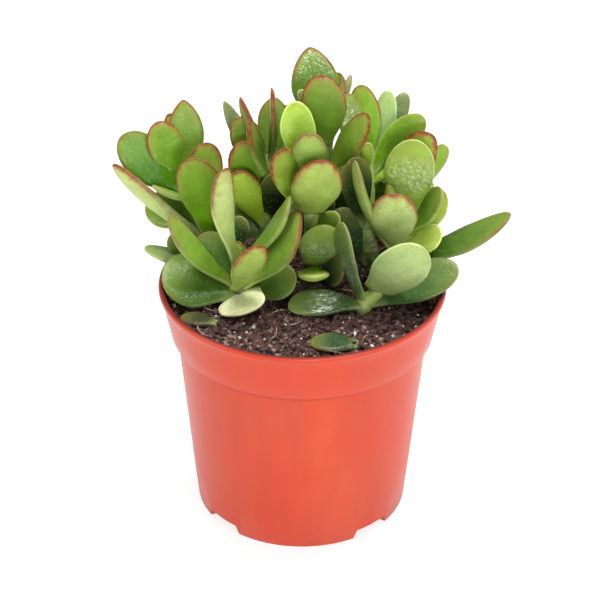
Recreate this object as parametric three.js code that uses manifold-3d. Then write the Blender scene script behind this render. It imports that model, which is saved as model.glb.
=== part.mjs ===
// Potted jade plant: a tapered nursery pot filled with soil, eight leafy stems
// standing in plain holes in the soil, and two leaves lying on it.
// Millimetres, +Z up. Origin: centre of the face the pot stands on. Front is -Y.
import * as THREE from 'three';
import { mergeVertices } from 'three/addons/utils/BufferGeometryUtils.js';
import Module from 'manifold-3d';

const wasm = await Module();
wasm.setup();

// ---- driving sizes -------------------------------------------------------
const GAP = 0.3; // left between neighbours that would touch
const LARGEST_SCRAP = 0.5; // mm3, what a cut may leave loose and be let go

const POT_HEIGHT = 105;
const LIP_RADIUS = 60;
const BAND_BOTTOM = 82.5; // lower edge of the wide band under the lip
const BAND_BOTTOM_RADIUS = 55;
const BODY_TOP_RADIUS = 52.6;
const BASE_RADIUS = 45;
const WALL = 1.5;
const FLOOR = 1.8;
const POT_SIDES = 48;

const NOTCH_COUNT = 4; // drainage notches round the foot
const NOTCH_FIRST = -48; // degrees, the front right one
const NOTCH_SPAN = 21.5; // degrees
const NOTCH_HEIGHT = 4.5;
const NOTCH_INNER_RADIUS = 34;
const DRAIN_RADIUS = 3;
const DRAIN_AT = 39;

const SOIL_TOP = 96.5;
const SOIL_RINGS = [50, 40, 30, 20, 10]; // radii of the rings of its surface
const HOLE_BOTTOM = 80; // the buried end of every stem

const LEAF_STATIONS = [0, 0.22, 0.44, 0.66, 0.84, 0.95]; // along the leaf, root to tip
const LEAF_SECTION = [[1, 0], [0.48, 0.8], [-0.48, 0.8], [-1, 0], [-0.48, -0.95], [0.48, -0.95]];
const STEM_SIDES = 8;

// A leaf: root (sunk in its stem), tip, the way its upper face looks, greatest
// width and thickness, sag of the midline, root width as a share of the greatest
// width, where along the leaf it is widest, and how pointed its tip is (0 is round).
const leaf = (root, tip, face, width, thick, sag, waist = 0.32, widest = 0.6, point = 0) => (
  { root, tip, face, width, thick, sag, waist, widest, point });

// Every leafy stem: its centre line from the buried end up, its radius at each
// point of that line, and its leaves.
const STEMS = [
  {
    name: 'stem_front_left',
    path: [[-24, -5, 80], [-24, -5, 98], [-26, -4, 103], [-27, -3, 118], [-28, -3, 124]],
    radius: [3.6, 3.6, 3.4, 2.6, 1.6],
    leaves: [
      leaf([-27, -4, 104], [-54.6, -8, 139.8], [3, -6, 10], 11, 4.5, 3, 0.32, 0.6, 0.3),
      leaf([-25, -4, 105], [-0.9, -8, 141.5], [-5, -5, 10], 19, 4.5, 3.5, 0.32, 0.6, 0.8),
      leaf([-28.2, -6, 105], [-17.3, -22, 134.4], [-2, 9, 8], 14, 4, 1.5),
      leaf([-25, -5, 102], [-25, -21.5, 101.7], [-3.2, 0, 9.5], 20.5, 4, 1, 0.8, 0.45),
      leaf([-27, -4, 101.5], [-58, -1.5, 110.5], [0, -5, 10], 26, 4.5, 1),
      leaf([-24, -4, 100], [-3, 0, 109], [-4, -7, 8], 17, 4.5, 1.5),
      leaf([-28, -4, 117], [-31.6, -12, 164], [-5, 7, 3], 11, 4.5, -3, 0.32, 0.6, -0.5),
      leaf([-26, -2, 115], [-5.4, -6, 148], [-6, -3, 10], 11, 4.5, 4, 0.32, 0.6, 0.8),
      leaf([-27, -2, 120], [-26, 3, 134], [-4, -9, 4], 9, 3.5, 1),
      leaf([-27, -4, 121], [-26, -4, 126], [-4, -9, 4], 4, 2, 0),
      leaf([-26, -3, 104], [-16, 14, 104], [-3, -3, 10], 14, 4.5, 2),
      leaf([-27, -2, 114], [-28, 12, 117], [1, -3, 10], 9, 4, 1),
      leaf([-26, -3, 105], [-42, 3, 125], [0, -8, 6], 16, 4, 2),
    ],
  },
  {
    name: 'stem_left',
    path: [[-37, 20, 80], [-37, 20, 98], [-38, 18, 113], [-44, 19, 128], [-47, 20, 138]],
    radius: [4.2, 4.2, 3.8, 3.2, 2.2],
    leaves: [
      leaf([-38, 17, 114], [-46.1, 6, 158.8], [0, -10, 2], 19, 5, 1.5),
      leaf([-40, 18, 114], [-78, 14, 152], [1, 9, 7], 10, 4.5, 2, 0.32, 0.6, -0.3),
      leaf([-47, 19, 135], [-75.5, 22, 160.2], [5, -10, 3], 19, 4.8, 2),
      leaf([-46, 19, 133], [-62, 12, 143], [0, 2, 10], 8, 3.5, 1),
      leaf([-47, 21, 136], [-61, 26, 165], [3, -9, 3], 16, 4.8, 2),
      leaf([-46, 21, 138], [-49.8, 34, 171.6], [2, -9, 3], 15.5, 4.8, 2, 0.32, 0.6, 1),
      leaf([-47, 22, 138], [-56, 38, 163.2], [0, -9, 4], 10.5, 4, 1.5),
      leaf([-41, 18, 124], [-40, 18, 160], [2, -9, 4], 16, 4.6, 1.5),
      leaf([-43, 20, 124], [-66, 20, 129.3], [0, -9, 5], 16, 4.5, 1.5),
      leaf([-37, 18, 103], [-56.5, 14, 116.8], [1, -8, 6], 13, 4.5, 1),
      leaf([-37, 19, 102], [-66, 6, 116.4], [1, -3, 10], 9, 4, 1.5),
      leaf([-38, 20, 107], [-33, 43, 126], [-1, -8, 8], 15, 4.5, 2),
      leaf([-44, 20, 127], [-41, 47, 141], [-1, -3, 10], 14, 4.5, 2),
      leaf([-38, 19, 109], [-54, 38, 120], [3, -3, 10], 14, 4.5, 2),
      leaf([-46, 20, 134], [-52, 46, 150], [1, -5, 10], 14, 4.5, 2),
      leaf([-43, 20, 124], [-61, 39, 144], [2, -4, 10], 14, 4.5, 2),
    ],
  },
  {
    name: 'stem_centre_left',
    path: [[-15, 24, 80], [-15, 24, 98], [-15, 23, 116], [-15, 24, 135], [-14, 25, 150]],
    radius: [4, 4, 3.6, 3.2, 2],
    leaves: [
      leaf([-16, 22, 119], [-27.8, 14, 148.9], [-1, -10, 5], 14, 5, 1.5),
      leaf([-16, 23, 128], [-26.2, 18, 160.2], [1, -10, 3], 15, 5, 1.5),
      leaf([-16, 25, 139], [-27.8, 26, 167.5], [3, -9, 2], 14, 4.5, 1.5, 0.32, 0.6, 0.4),
      leaf([-15, 26, 143], [-33, 36, 170], [6, -5, 6], 9, 4, 2, 0.32, 0.6, 0.8),
      leaf([-14, 26, 148], [-26, 30, 175], [8, 5, 4], 9, 4, 1.5, 0.32, 0.6, 0.8),
      leaf([-14, 23, 139], [-22, 12, 174], [9, -4, 3], 8, 4.5, 1.5, 0.32, 0.6, 0.6),
      leaf([-14, 25, 147], [-13, 18, 185], [-9, -1, 1], 11, 3.6, 1, 0.32, 0.6, 0.8),
      leaf([-14, 26, 148], [-12, 36, 172], [0, -10, 2], 13, 4.2, 1, 0.32, 0.6, 0.5),
      leaf([-16, 22, 112], [-28, 24, 128], [2, -8, 6], 14, 4.5, 2),
      leaf([-14, 24, 112], [-4, 30, 129], [-3, -8, 5], 14, 4.5, 2),
      leaf([-15, 25, 127], [-11, 46, 148], [-1, -6, 8], 14, 4.5, 2),
      leaf([-15, 25, 108], [-21, 49, 126], [1, -3, 10], 15, 4.5, 2),
      leaf([-15, 25, 136], [-22, 47, 153], [1, -6, 8], 14, 4.5, 2),
      leaf([-14, 25, 146], [-7, 43, 165], [-1, -8, 6], 12, 4.5, 1.5),
      leaf([-14.5, 22, 120], [-10, 17, 147], [1, -10, 3], 13, 4.2, 1),
    ],
  },
  {
    name: 'stem_back',
    path: [[10, 32, 80], [10, 32, 98], [10, 30, 119], [10, 29, 142], [9, 28, 164]],
    radius: [4.2, 4.2, 3.8, 3.2, 2.2],
    leaves: [
      leaf([9, 29, 160], [2.2, 38, 194], [1, -10, 3], 20.3, 5, 2, 0.32, 0.52, 0.9),
      leaf([8, 27, 155], [7.1, 19, 190.4], [0, -9, -5], 19, 5, -1.5, 0.45, 0.58),
      leaf([10, 29, 157], [14.3, 40, 181.6], [-7, -6, 3], 13, 4.5, 1.5),
      leaf([10, 29, 163], [19.7, 47, 177], [-7, 5, 3], 7, 3.5, 1),
      leaf([8, 28, 162], [-2, 24, 181], [5, -6, 6], 7, 3.5, 1),
      leaf([10, 28, 142], [26.3, 3, 180.2], [-6, -9, 5], 13, 4, 1, 0.32, 0.52),
      leaf([9, 30, 140], [-1, 46, 156], [3, 8, 5], 14, 4.5, 1.5),
      leaf([11, 30, 138], [21, 51, 141], [-1, -6, 8], 15, 4.5, 2),
      leaf([9, 30, 115], [-1, 43, 130], [4, -8, 6], 14, 4.5, 2),
      leaf([11, 31, 113], [21, 45, 131], [-4, -8, 6], 14, 4.5, 2),
      leaf([10, 29, 150], [4, 52, 163], [-1, -6, 8], 14, 4.5, 2),
      leaf([10, 30, 125], [5, 53, 142], [0, -4, 10], 15, 4.5, 2),
    ],
  },
  {
    name: 'stem_centre',
    path: [[4, 10, 80], [4, 10, 98], [4, 8, 118], [3, 8, 137], [1, 8, 159]],
    radius: [3.8, 3.8, 3.4, 3, 2],
    leaves: [
      leaf([0.4, 8.5, 153], [-4, 8, 184], [1, -10, 4], 14.5, 5, 1.5, 0.5, 0.55, 0.3),
      leaf([1, 7, 154], [2.3, -8, 178], [0, 9, 6], 13.5, 5, 1, 0.45, 0.55),
      leaf([2, 8, 138], [-10.3, -1, 166], [4, -10, 3], 16, 5, 1.5, 0.7, 0.52),
      leaf([3, 7, 135], [7, -10, 167], [0, 8, 6], 20.6, 5, 2, 0.6, 0.52),
      leaf([4, 8, 109], [9.5, -5, 134.5], [0, -9, -5], 18, 5, -1.5, 0.5, 0.55),
      leaf([4, 8, 127.5], [15.2, 2, 134.2], [0, -9, 5], 8, 3.5, 1),
      leaf([4.5, 8, 106.5], [4.2, -7, 111.5], [0, -3, 10], 13, 5, 1),
      leaf([4, 9, 111], [-6, 15, 134], [1, -9, 4], 14, 4, 1.5),
      leaf([5, 9, 101], [17, 3, 109], [0, -6, 8], 14, 4.2, 1),
    ],
  },
  {
    name: 'stem_right_back',
    path: [[31, 13, 80], [31, 13, 98], [27.8, 15, 114], [27, 18, 133], [27, 22, 151]],
    radius: [3.6, 3.6, 3.6, 3.3, 2.4],
    leaves: [
      leaf([27, 22, 144], [23.6, 38.3, 176.8], [-1, -10, 3], 13.5, 5, 1.5),
      leaf([26, 20, 142], [18.3, 31, 176.3], [5, -9, 2], 12.5, 4, 1.5),
      leaf([29, 22, 146], [35.2, 40, 173.5], [-3, -9, 3], 10, 4.6, 1.5, 0.32, 0.6, -0.3),
      leaf([28, 23, 147], [42.8, 45, 170], [-3, -9, 3], 9, 4, 1.5, 0.32, 0.6, -0.3),
      leaf([28, 21, 143], [49, 25, 169.3], [-1, -10, 3], 14, 5, 2),
      leaf([28, 19, 142], [35, 22, 148], [-2, -7, 8], 8, 3.5, 1),
      leaf([26, 15, 123], [20.5, 5.5, 160], [3, -9, 3], 14, 4, 1.5),
      leaf([26, 16, 120], [31, 39, 134], [-1, -8, 8], 15, 4.5, 2),
      leaf([27, 21, 140], [45, 45, 147], [-3, -3, 10], 14, 4.5, 2),
      leaf([27, 17, 125], [35, 24, 138], [-3, -8, 5], 14, 4.5, 1.5),
      leaf([27, 20, 134], [28, 48, 130], [0, 3, 10], 14, 4.5, -1.5),
      leaf([28, 13, 106], [14, 13, 132], [0, -9, 4], 14, 4.2, 1),
      leaf([27, 21, 146], [26.4, 14.5, 162.1], [0, -9, 4], 6, 3, 0.5),
    ],
  },
  {
    name: 'stem_right',
    path: [[41, 20, 80], [41, 20, 98], [40, 18.5, 111], [41, 18, 123], [43, 19, 131]],
    radius: [3.8, 3.8, 3.6, 3, 2],
    leaves: [
      leaf([43, 18, 125], [45, 10, 166], [0, -10, 4], 21, 5, 1.5, 0.4, 0.55),
      leaf([42, 19, 125], [50, 15.5, 166.9], [0, -9, 4], 16, 4.6, 1.5, 0.32, 0.6, -0.5),
      leaf([43, 20, 131], [59.5, 30, 153.2], [-5, -8, 4], 8.5, 4, 1, 0.32, 0.72, -0.3),
      leaf([39, 17, 113], [36.7, 0, 146.5], [0, 8, 5], 20, 5, 2, 0.35, 0.6),
      leaf([41, 17, 118], [57, 12, 142], [-6, -4, 6], 13, 4.5, 2.5),
      leaf([41, 19, 114], [59, 26, 134], [-4, -8, 5], 15, 4.5, 1.5),
      leaf([40, 17, 111], [58, 14, 121], [-1, -7, 10], 13, 4, 1.5),
      leaf([38, 17, 111], [21, -3, 163], [9, 4, 3], 9, 4.5, 3),
      leaf([40, 20, 104], [87, 18, 127.3], [-3, -2, 10], 16, 5, 3.6, 0.32, 0.6, 0.4),
      leaf([40, 17, 123], [35, 12, 144], [1, -9, 4], 5, 2.5, 0),
      leaf([40, 19, 116], [52, 45, 128], [-1, -6, 8], 15, 4.5, 2),
      leaf([40, 19, 107], [54, 42, 123], [-1, -3, 10], 14, 4.5, 2),
      leaf([42, 19, 126], [48, 45, 142], [0, -4, 10], 14, 4.5, 2),
      leaf([41, 18, 118], [53, 41, 132], [-1, -4, 10], 13, 4.5, 2),
    ],
  },
  {
    name: 'stem_front_right',
    path: [[25, -10, 80], [25, -10, 98], [27, -9.3, 101], [31.8, -9, 106.2]],
    radius: [3.8, 3.8, 3.4, 2.4],
    leaves: [
      leaf([26, -9, 100], [16, -16, 142], [-8, -5, 2], 13, 4.5, -2.5),
      leaf([25, -11, 100], [-6, -12, 100], [0, -2, 10], 16, 4.2, -1),
      leaf([31.8, -9, 106.6], [45.8, -22, 135.6], [-2, 9, -3], 23, 5, 2.5, 0.6, 0.52),
      leaf([27, -9, 100], [64.1, -6, 115.4], [-1, -6, 10], 18, 4.8, 0.8),
    ],
  },
];

// Leaves that have dropped and lie on the soil.
const DROPPED = [
  {
    name: 'dropped_leaf_front',
    leaf: leaf([22.5, -38, 97.7], [3, -36.5, 97.8], [0, -1, 10], 12.5, 3.4, -0.4, 0.4, 0.5),
  },
  {
    name: 'dropped_leaf_left',
    leaf: leaf([-35, -22, 97.5], [-50, -17, 97.6], [0, -1, 10], 9, 2.6, -0.3, 0.4, 0.55),
  },
];

// ---- colours -------------------------------------------------------------
const PLASTIC = new THREE.MeshStandardMaterial({ color: '#e4694f', roughness: 0.55, metalness: 0 });
const SOIL = new THREE.MeshStandardMaterial({ color: '#3b2b27', roughness: 1, metalness: 0 });
const LEAF = new THREE.MeshStandardMaterial({ color: '#7da845', roughness: 0.4, metalness: 0 });
const DROPPED_LEAF = new THREE.MeshStandardMaterial({ color: '#5e6b52', roughness: 0.5, metalness: 0 });

// ---- small helpers -------------------------------------------------------
const radians = (degrees) => (degrees * Math.PI) / 180;
const vec = (p) => new THREE.Vector3(...p);

// Closed geometry from points and triangles, turned so that its faces look out.
function closed(points, triangles) {
  const volume = triangles.reduce((sum, [a, b, c]) => (
    sum + points[a].dot(new THREE.Vector3().crossVectors(points[b], points[c]))), 0);
  const index = triangles.flatMap(([a, b, c]) => (volume < 0 ? [a, c, b] : [a, b, c]));
  const geometry = new THREE.BufferGeometry();
  geometry.setAttribute('position', new THREE.Float32BufferAttribute(
    points.flatMap((p) => [p.x, p.y, p.z]), 3));
  geometry.setIndex(index);
  return geometry;
}

// A body from rings of points, each ring joined to the next, both ends capped.
function loft(rings, tip = null) {
  const n = rings[0].length;
  const points = rings.flat();
  const triangles = [];
  for (let i = 0; i + 1 < rings.length; i += 1) {
    for (let j = 0; j < n; j += 1) {
      const a = i * n + j;
      const b = i * n + ((j + 1) % n);
      triangles.push([a, b, b + n], [a, b + n, a + n]);
    }
  }
  const last = (rings.length - 1) * n;
  for (let j = 1; j + 1 < n; j += 1) triangles.push([0, j + 1, j]);
  if (tip) {
    points.push(tip);
    for (let j = 0; j < n; j += 1) {
      triangles.push([last + j, last + ((j + 1) % n), points.length - 1]);
    }
  } else {
    for (let j = 1; j + 1 < n; j += 1) triangles.push([last, last + j, last + j + 1]);
  }
  return closed(points, triangles);
}

function solid(geometry) {
  const bare = geometry.clone();
  bare.deleteAttribute('normal');
  bare.deleteAttribute('uv');
  const welded = mergeVertices(bare, 1e-4);
  return new wasm.Manifold(new wasm.Mesh({
    numProp: 3,
    vertProperties: Float32Array.from(welded.attributes.position.array),
    triVerts: Uint32Array.from(welded.index.array),
  }));
}

// Back to a mesh. Scraps that a cut leaves behind are let go, but a larger body
// that isn't joined to the rest, such as a leaf that misses its stem, is an error.
function mesh(name, body, material) {
  const [whole, ...loose] = body.decompose().sort((a, b) => b.volume() - a.volume());
  for (const one of loose) {
    if (one.volume() > LARGEST_SCRAP) {
      throw new Error(`${name}: a body of ${one.volume().toFixed(2)} mm3 is not joined to it`);
    }
  }
  const { vertProperties, triVerts } = whole.getMesh();
  let geometry = new THREE.BufferGeometry();
  geometry.setAttribute('position', new THREE.BufferAttribute(Float32Array.from(vertProperties), 3));
  geometry.setIndex(new THREE.BufferAttribute(Uint32Array.from(triVerts), 1));
  geometry = mergeVertices(geometry, 1e-4);
  geometry.computeVertexNormals();
  const made = new THREE.Mesh(geometry, material);
  made.name = name;
  return made;
}

// A lathed body stood up on Z. The profile is [radius, height] and starts and
// ends on the axis.
function turned(profile, sides) {
  const geometry = new THREE.LatheGeometry(profile.map(([r, z]) => new THREE.Vector2(r, z)), sides);
  geometry.rotateX(Math.PI / 2);
  return solid(geometry);
}

// A block with the plan of a slice of a ring.
function ringBlock(middle, span, inner, outer, bottom, top, steps = 4) {
  const at = (radius, k) => {
    const angle = radians(middle + span * (k / steps - 0.5));
    return [radius * Math.cos(angle), radius * Math.sin(angle)];
  };
  const plan = [];
  for (let k = 0; k <= steps; k += 1) plan.push(at(outer, k));
  for (let k = steps; k >= 0; k -= 1) plan.push(at(inner, k));
  const shape = new THREE.Shape(plan.map(([x, y]) => new THREE.Vector2(x, y)));
  const geometry = new THREE.ExtrudeGeometry(shape, { depth: top - bottom, bevelEnabled: false });
  geometry.translate(0, 0, bottom);
  return solid(geometry);
}

function rod(x, y, bottom, top, radius, sides = 16) {
  const geometry = new THREE.CylinderGeometry(radius, radius, top - bottom, sides);
  geometry.rotateX(Math.PI / 2);
  geometry.translate(x, y, (bottom + top) / 2);
  return solid(geometry);
}

const notchAngles = Array.from({ length: NOTCH_COUNT }, (_, k) => NOTCH_FIRST + (360 / NOTCH_COUNT) * k);

// ---- pot -----------------------------------------------------------------
const POT_OUTSIDE = [
  [0, 0], [BASE_RADIUS - 0.7, 0], [BASE_RADIUS, 0.8],
  [BODY_TOP_RADIUS, BAND_BOTTOM - 1], [BAND_BOTTOM_RADIUS - 0.5, BAND_BOTTOM - 0.6],
  [BAND_BOTTOM_RADIUS, BAND_BOTTOM], [LIP_RADIUS - 0.9, POT_HEIGHT - 3],
  [LIP_RADIUS - 0.1, POT_HEIGHT - 2.2], [LIP_RADIUS, POT_HEIGHT - 1.1],
  [LIP_RADIUS - 0.4, POT_HEIGHT - 0.3], [LIP_RADIUS - 1.1, POT_HEIGHT], [0, POT_HEIGHT],
];
const POT_INSIDE = [
  [0, FLOOR], [BASE_RADIUS - WALL, FLOOR],
  [BODY_TOP_RADIUS - WALL, BAND_BOTTOM - 1.5], [BAND_BOTTOM_RADIUS - WALL, BAND_BOTTOM + 1],
  [LIP_RADIUS - 2.6, POT_HEIGHT - 1], [LIP_RADIUS - 1.9, POT_HEIGHT - 0.2],
  [LIP_RADIUS - 1.6, POT_HEIGHT + 1], [0, POT_HEIGHT + 1],
];

// The room over each notch that the pot's floor rises round.
const overNotch = (angle, extra) => ringBlock(
  angle, NOTCH_SPAN + 4 + extra * 4, NOTCH_INNER_RADIUS - WALL - extra, BASE_RADIUS + 6,
  -1, NOTCH_HEIGHT + WALL + extra);

function makePot() {
  let inside = turned(POT_INSIDE, POT_SIDES);
  for (const angle of notchAngles) inside = inside.subtract(overNotch(angle, 0));
  let pot = turned(POT_OUTSIDE, POT_SIDES).subtract(inside);
  for (const angle of notchAngles) {
    pot = pot.subtract(ringBlock(
      angle, NOTCH_SPAN, NOTCH_INNER_RADIUS, BASE_RADIUS + 6, -1, NOTCH_HEIGHT));
    const x = DRAIN_AT * Math.cos(radians(angle));
    const y = DRAIN_AT * Math.sin(radians(angle));
    pot = pot.subtract(rod(x, y, 1, 12, DRAIN_RADIUS, 12));
  }
  return mesh('pot', pot, PLASTIC);
}

// ---- leafy stems ---------------------------------------------------------
const widthAt = (t, { waist, widest, point }) => {
  if (t < widest) {
    const u = t / widest;
    return waist + (1 - waist) * u * u * (3 - 2 * u);
  }
  const u = (t - widest) / (1 - widest);
  return Math.max(0, 1 - u ** (2.2 - 0.5 * point)) ** (0.5 + 0.2 * point);
};
const thicknessAt = (t) => {
  if (t < 0.5) return 0.85 + 0.3 * t;
  return 0.85 * Math.sqrt(Math.max(0, 1 - ((t - 0.5) / 0.5) ** 2.6)) + 0.3 * (1 - t);
};

function leafBody(plan, swell = 0) {
  const { root, tip, face, width, thick, sag } = plan;
  const along = vec(tip).sub(vec(root));
  const length = along.length();
  along.normalize();
  const up = vec(face);
  up.addScaledVector(along, -up.dot(along)).normalize();
  const rings = LEAF_STATIONS.map((t) => {
    const centre = vec(root).addScaledVector(along, (length + 2 * swell) * t - swell)
      .addScaledVector(up, -4 * sag * t * (1 - t));
    const slope = (-4 * sag * (1 - 2 * t)) / length;
    const heading = along.clone().addScaledVector(up, slope).normalize();
    const normal = up.clone().addScaledVector(heading, -up.dot(heading)).normalize();
    const side = new THREE.Vector3().crossVectors(heading, normal);
    const halfWidth = (width / 2) * widthAt(t, plan) + swell;
    const halfThick = (thick / 2) * thicknessAt(t) + swell;
    return LEAF_SECTION.map(([a, b]) => centre.clone()
      .addScaledVector(side, a * halfWidth).addScaledVector(normal, b * halfThick));
  });
  return solid(loft(rings, vec(tip).addScaledVector(along, swell)));
}

function stemBody(path, radius) {
  const points = path.map(vec);
  const rings = points.map((p, i) => {
    const heading = points[Math.min(i + 1, points.length - 1)].clone()
      .sub(points[Math.max(i - 1, 0)]).normalize();
    if (i < 2) heading.set(0, 0, 1); // the buried end stands upright in its hole
    const across = new THREE.Vector3(1, 0, 0);
    across.addScaledVector(heading, -across.dot(heading)).normalize();
    const other = new THREE.Vector3().crossVectors(heading, across);
    return Array.from({ length: STEM_SIDES }, (_, k) => {
      const angle = (2 * Math.PI * k) / STEM_SIDES;
      return p.clone().addScaledVector(across, radius[i] * Math.cos(angle))
        .addScaledVector(other, radius[i] * Math.sin(angle));
    });
  });
  return solid(loft(rings));
}

function makeStem({ name, path, radius, leaves }) {
  const body = leaves.reduce((sum, one) => sum.add(leafBody(one)), stemBody(path, radius));
  return mesh(name, body, LEAF);
}

// ---- soil ----------------------------------------------------------------
const soilHeight = (x, y) => SOIL_TOP
  + 0.25 * Math.sin(0.31 * x + 1) + 0.2 * Math.sin(0.37 * y + 2) + 0.15 * Math.sin(0.2 * (x + y));

function makeSoil() {
  const slope = (BODY_TOP_RADIUS - BASE_RADIUS) / (BAND_BOTTOM - 1 - FLOOR);
  const wall = [
    [BASE_RADIUS - WALL - GAP, FLOOR + GAP],
    [BODY_TOP_RADIUS - WALL - GAP - slope, BAND_BOTTOM - 1.3],
    [BAND_BOTTOM_RADIUS - WALL - GAP - 0.05, BAND_BOTTOM + 1.4],
  ];
  const lean = (LIP_RADIUS - 2.6 - BAND_BOTTOM_RADIUS + WALL) / (POT_HEIGHT - 2 - BAND_BOTTOM);
  const edge = BAND_BOTTOM_RADIUS - WALL - GAP + (SOIL_TOP - BAND_BOTTOM - 1) * lean;
  const ring = (radius, height) => Array.from({ length: POT_SIDES }, (_, k) => {
    const angle = (2 * Math.PI * k) / POT_SIDES;
    const x = radius * Math.cos(angle);
    const y = radius * Math.sin(angle);
    return new THREE.Vector3(x, y, height ?? soilHeight(x, y));
  });
  const rings = [
    ...wall.map(([r, z]) => ring(r, z)),
    ring(edge),
    ...SOIL_RINGS.map((r) => ring(r)),
  ];
  let soil = solid(loft(rings, new THREE.Vector3(0, 0, soilHeight(0, 0))));
  for (const angle of notchAngles) soil = soil.subtract(overNotch(angle, GAP));
  for (const { path, radius } of STEMS) {
    const [x, y] = path[0];
    soil = soil.subtract(rod(x, y, HOLE_BOTTOM - GAP, POT_HEIGHT, radius[0] + GAP + 0.1));
  }
  for (const { leaf: one } of DROPPED) soil = soil.subtract(leafBody(one, GAP));
  return mesh('soil', soil, SOIL);
}

// ---- the whole -----------------------------------------------------------
const plant = new THREE.Group();
plant.name = 'potted_jade_plant';
plant.add(makePot(), makeSoil());
for (const stem of STEMS) plant.add(makeStem(stem));
for (const { name, leaf: one } of DROPPED) plant.add(mesh(name, leafBody(one), DROPPED_LEAF));

export default plant;
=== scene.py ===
"""Looks of a potted jade plant: a moulded nursery pot, its peat, eight leafy stems and two dropped leaves.

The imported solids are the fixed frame. Every piece here stands for one of them, in the same place
and form, with the detail that the solids leave out. Sizes are written in millimetres and turned
to metres by MM. Origin: centre of the face the pot stands on. +Z is up and the front is -Y.
"""

import logging
import math
import random
from collections import Counter
from dataclasses import dataclass, field
from enum import Enum

import bmesh
import bpy
from mathutils import Matrix, Vector, noise


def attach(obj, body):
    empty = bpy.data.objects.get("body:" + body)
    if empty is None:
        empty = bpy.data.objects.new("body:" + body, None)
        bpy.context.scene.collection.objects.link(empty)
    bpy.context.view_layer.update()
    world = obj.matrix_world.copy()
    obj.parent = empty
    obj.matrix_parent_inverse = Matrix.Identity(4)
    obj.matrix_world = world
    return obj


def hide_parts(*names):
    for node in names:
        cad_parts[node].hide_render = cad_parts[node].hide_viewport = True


LOG = logging.getLogger("jade_plant")
MM = 0.001
SOIL_TOP = 96.5  # mean height of the soil's surface, in mm

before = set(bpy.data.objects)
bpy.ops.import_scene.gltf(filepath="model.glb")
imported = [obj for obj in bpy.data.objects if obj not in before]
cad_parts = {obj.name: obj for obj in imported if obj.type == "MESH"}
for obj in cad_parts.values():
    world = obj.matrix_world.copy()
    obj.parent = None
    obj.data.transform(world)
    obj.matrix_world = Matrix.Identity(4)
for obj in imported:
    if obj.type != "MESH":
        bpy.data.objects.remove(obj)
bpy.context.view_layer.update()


# ---------------------------------------------------------------------------------------------
# colour, nodes and mesh helpers
# ---------------------------------------------------------------------------------------------
def linear(code: str) -> tuple[float, float, float, float]:
    """Turn an sRGB hex colour into linear light.

    Args:
        code: colour as "#RRGGBB".

    Returns:
        Red, green, blue and an alpha of 1, linear.
    """
    parts = [int(code[i : i + 2], 16) / 255 for i in (1, 3, 5)]
    red, green, blue = (c / 12.92 if c <= 0.04045 else ((c + 0.055) / 1.055) ** 2.4 for c in parts)
    return red, green, blue, 1.0


def smooth(value: float, low: float, high: float) -> float:
    """Ease from 0 at low to 1 at high."""
    t = min(1.0, max(0.0, (value - low) / (high - low)))
    return t * t * (3 - 2 * t)


def mix_value(a: float, b: float, t: float) -> float:
    """Value t of the way from a to b."""
    return a + (b - a) * t


class NodeGraph:
    """The node tree of one material, with one function that adds and links a node."""

    def __init__(self, name: str) -> None:
        """Start a material with an empty tree and its output node.

        Args:
            name: name of the material.
        """
        self.material = bpy.data.materials.new(name)
        self.material.use_nodes = True
        self.tree = self.material.node_tree
        self.tree.nodes.clear()
        self.output = self.tree.nodes.new("ShaderNodeOutputMaterial")

    def add(self, kind: str, inputs: dict | None = None, **settings: object) -> bpy.types.Node:
        """Add a node with its settings, and fill or link its inputs.

        Args:
            kind: the node's type, without the "ShaderNode" in front.
            inputs: input name or number, and the value or output socket that goes in it.
            **settings: the node's own properties.

        Returns:
            The new node.
        """
        node = self.tree.nodes.new("ShaderNode" + kind)
        for key, value in settings.items():
            setattr(node, key, value)
        for key, value in (inputs or {}).items():
            socket = node.inputs[key]
            if isinstance(value, bpy.types.NodeSocket):
                self.tree.links.new(value, socket)
            else:
                socket.default_value = value
        return node

    def finish(self, shader: bpy.types.Node) -> bpy.types.Material:
        """Link the shader to the output and hand the material back."""
        self.tree.links.new(shader.outputs[0], self.output.inputs["Surface"])
        return self.material


def deselect_all() -> None:
    """Deselect everything, because an operator acts on all that is selected."""
    if bpy.context.object and bpy.context.object.mode != "OBJECT":
        bpy.ops.object.mode_set(mode="OBJECT")
    bpy.ops.object.select_all(action="DESELECT")


def make_active(obj: bpy.types.Object) -> None:
    """Select one object alone and make it the active one.

    Args:
        obj: the object.
    """
    deselect_all()
    obj.select_set(True)
    bpy.context.view_layer.objects.active = obj


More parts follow.
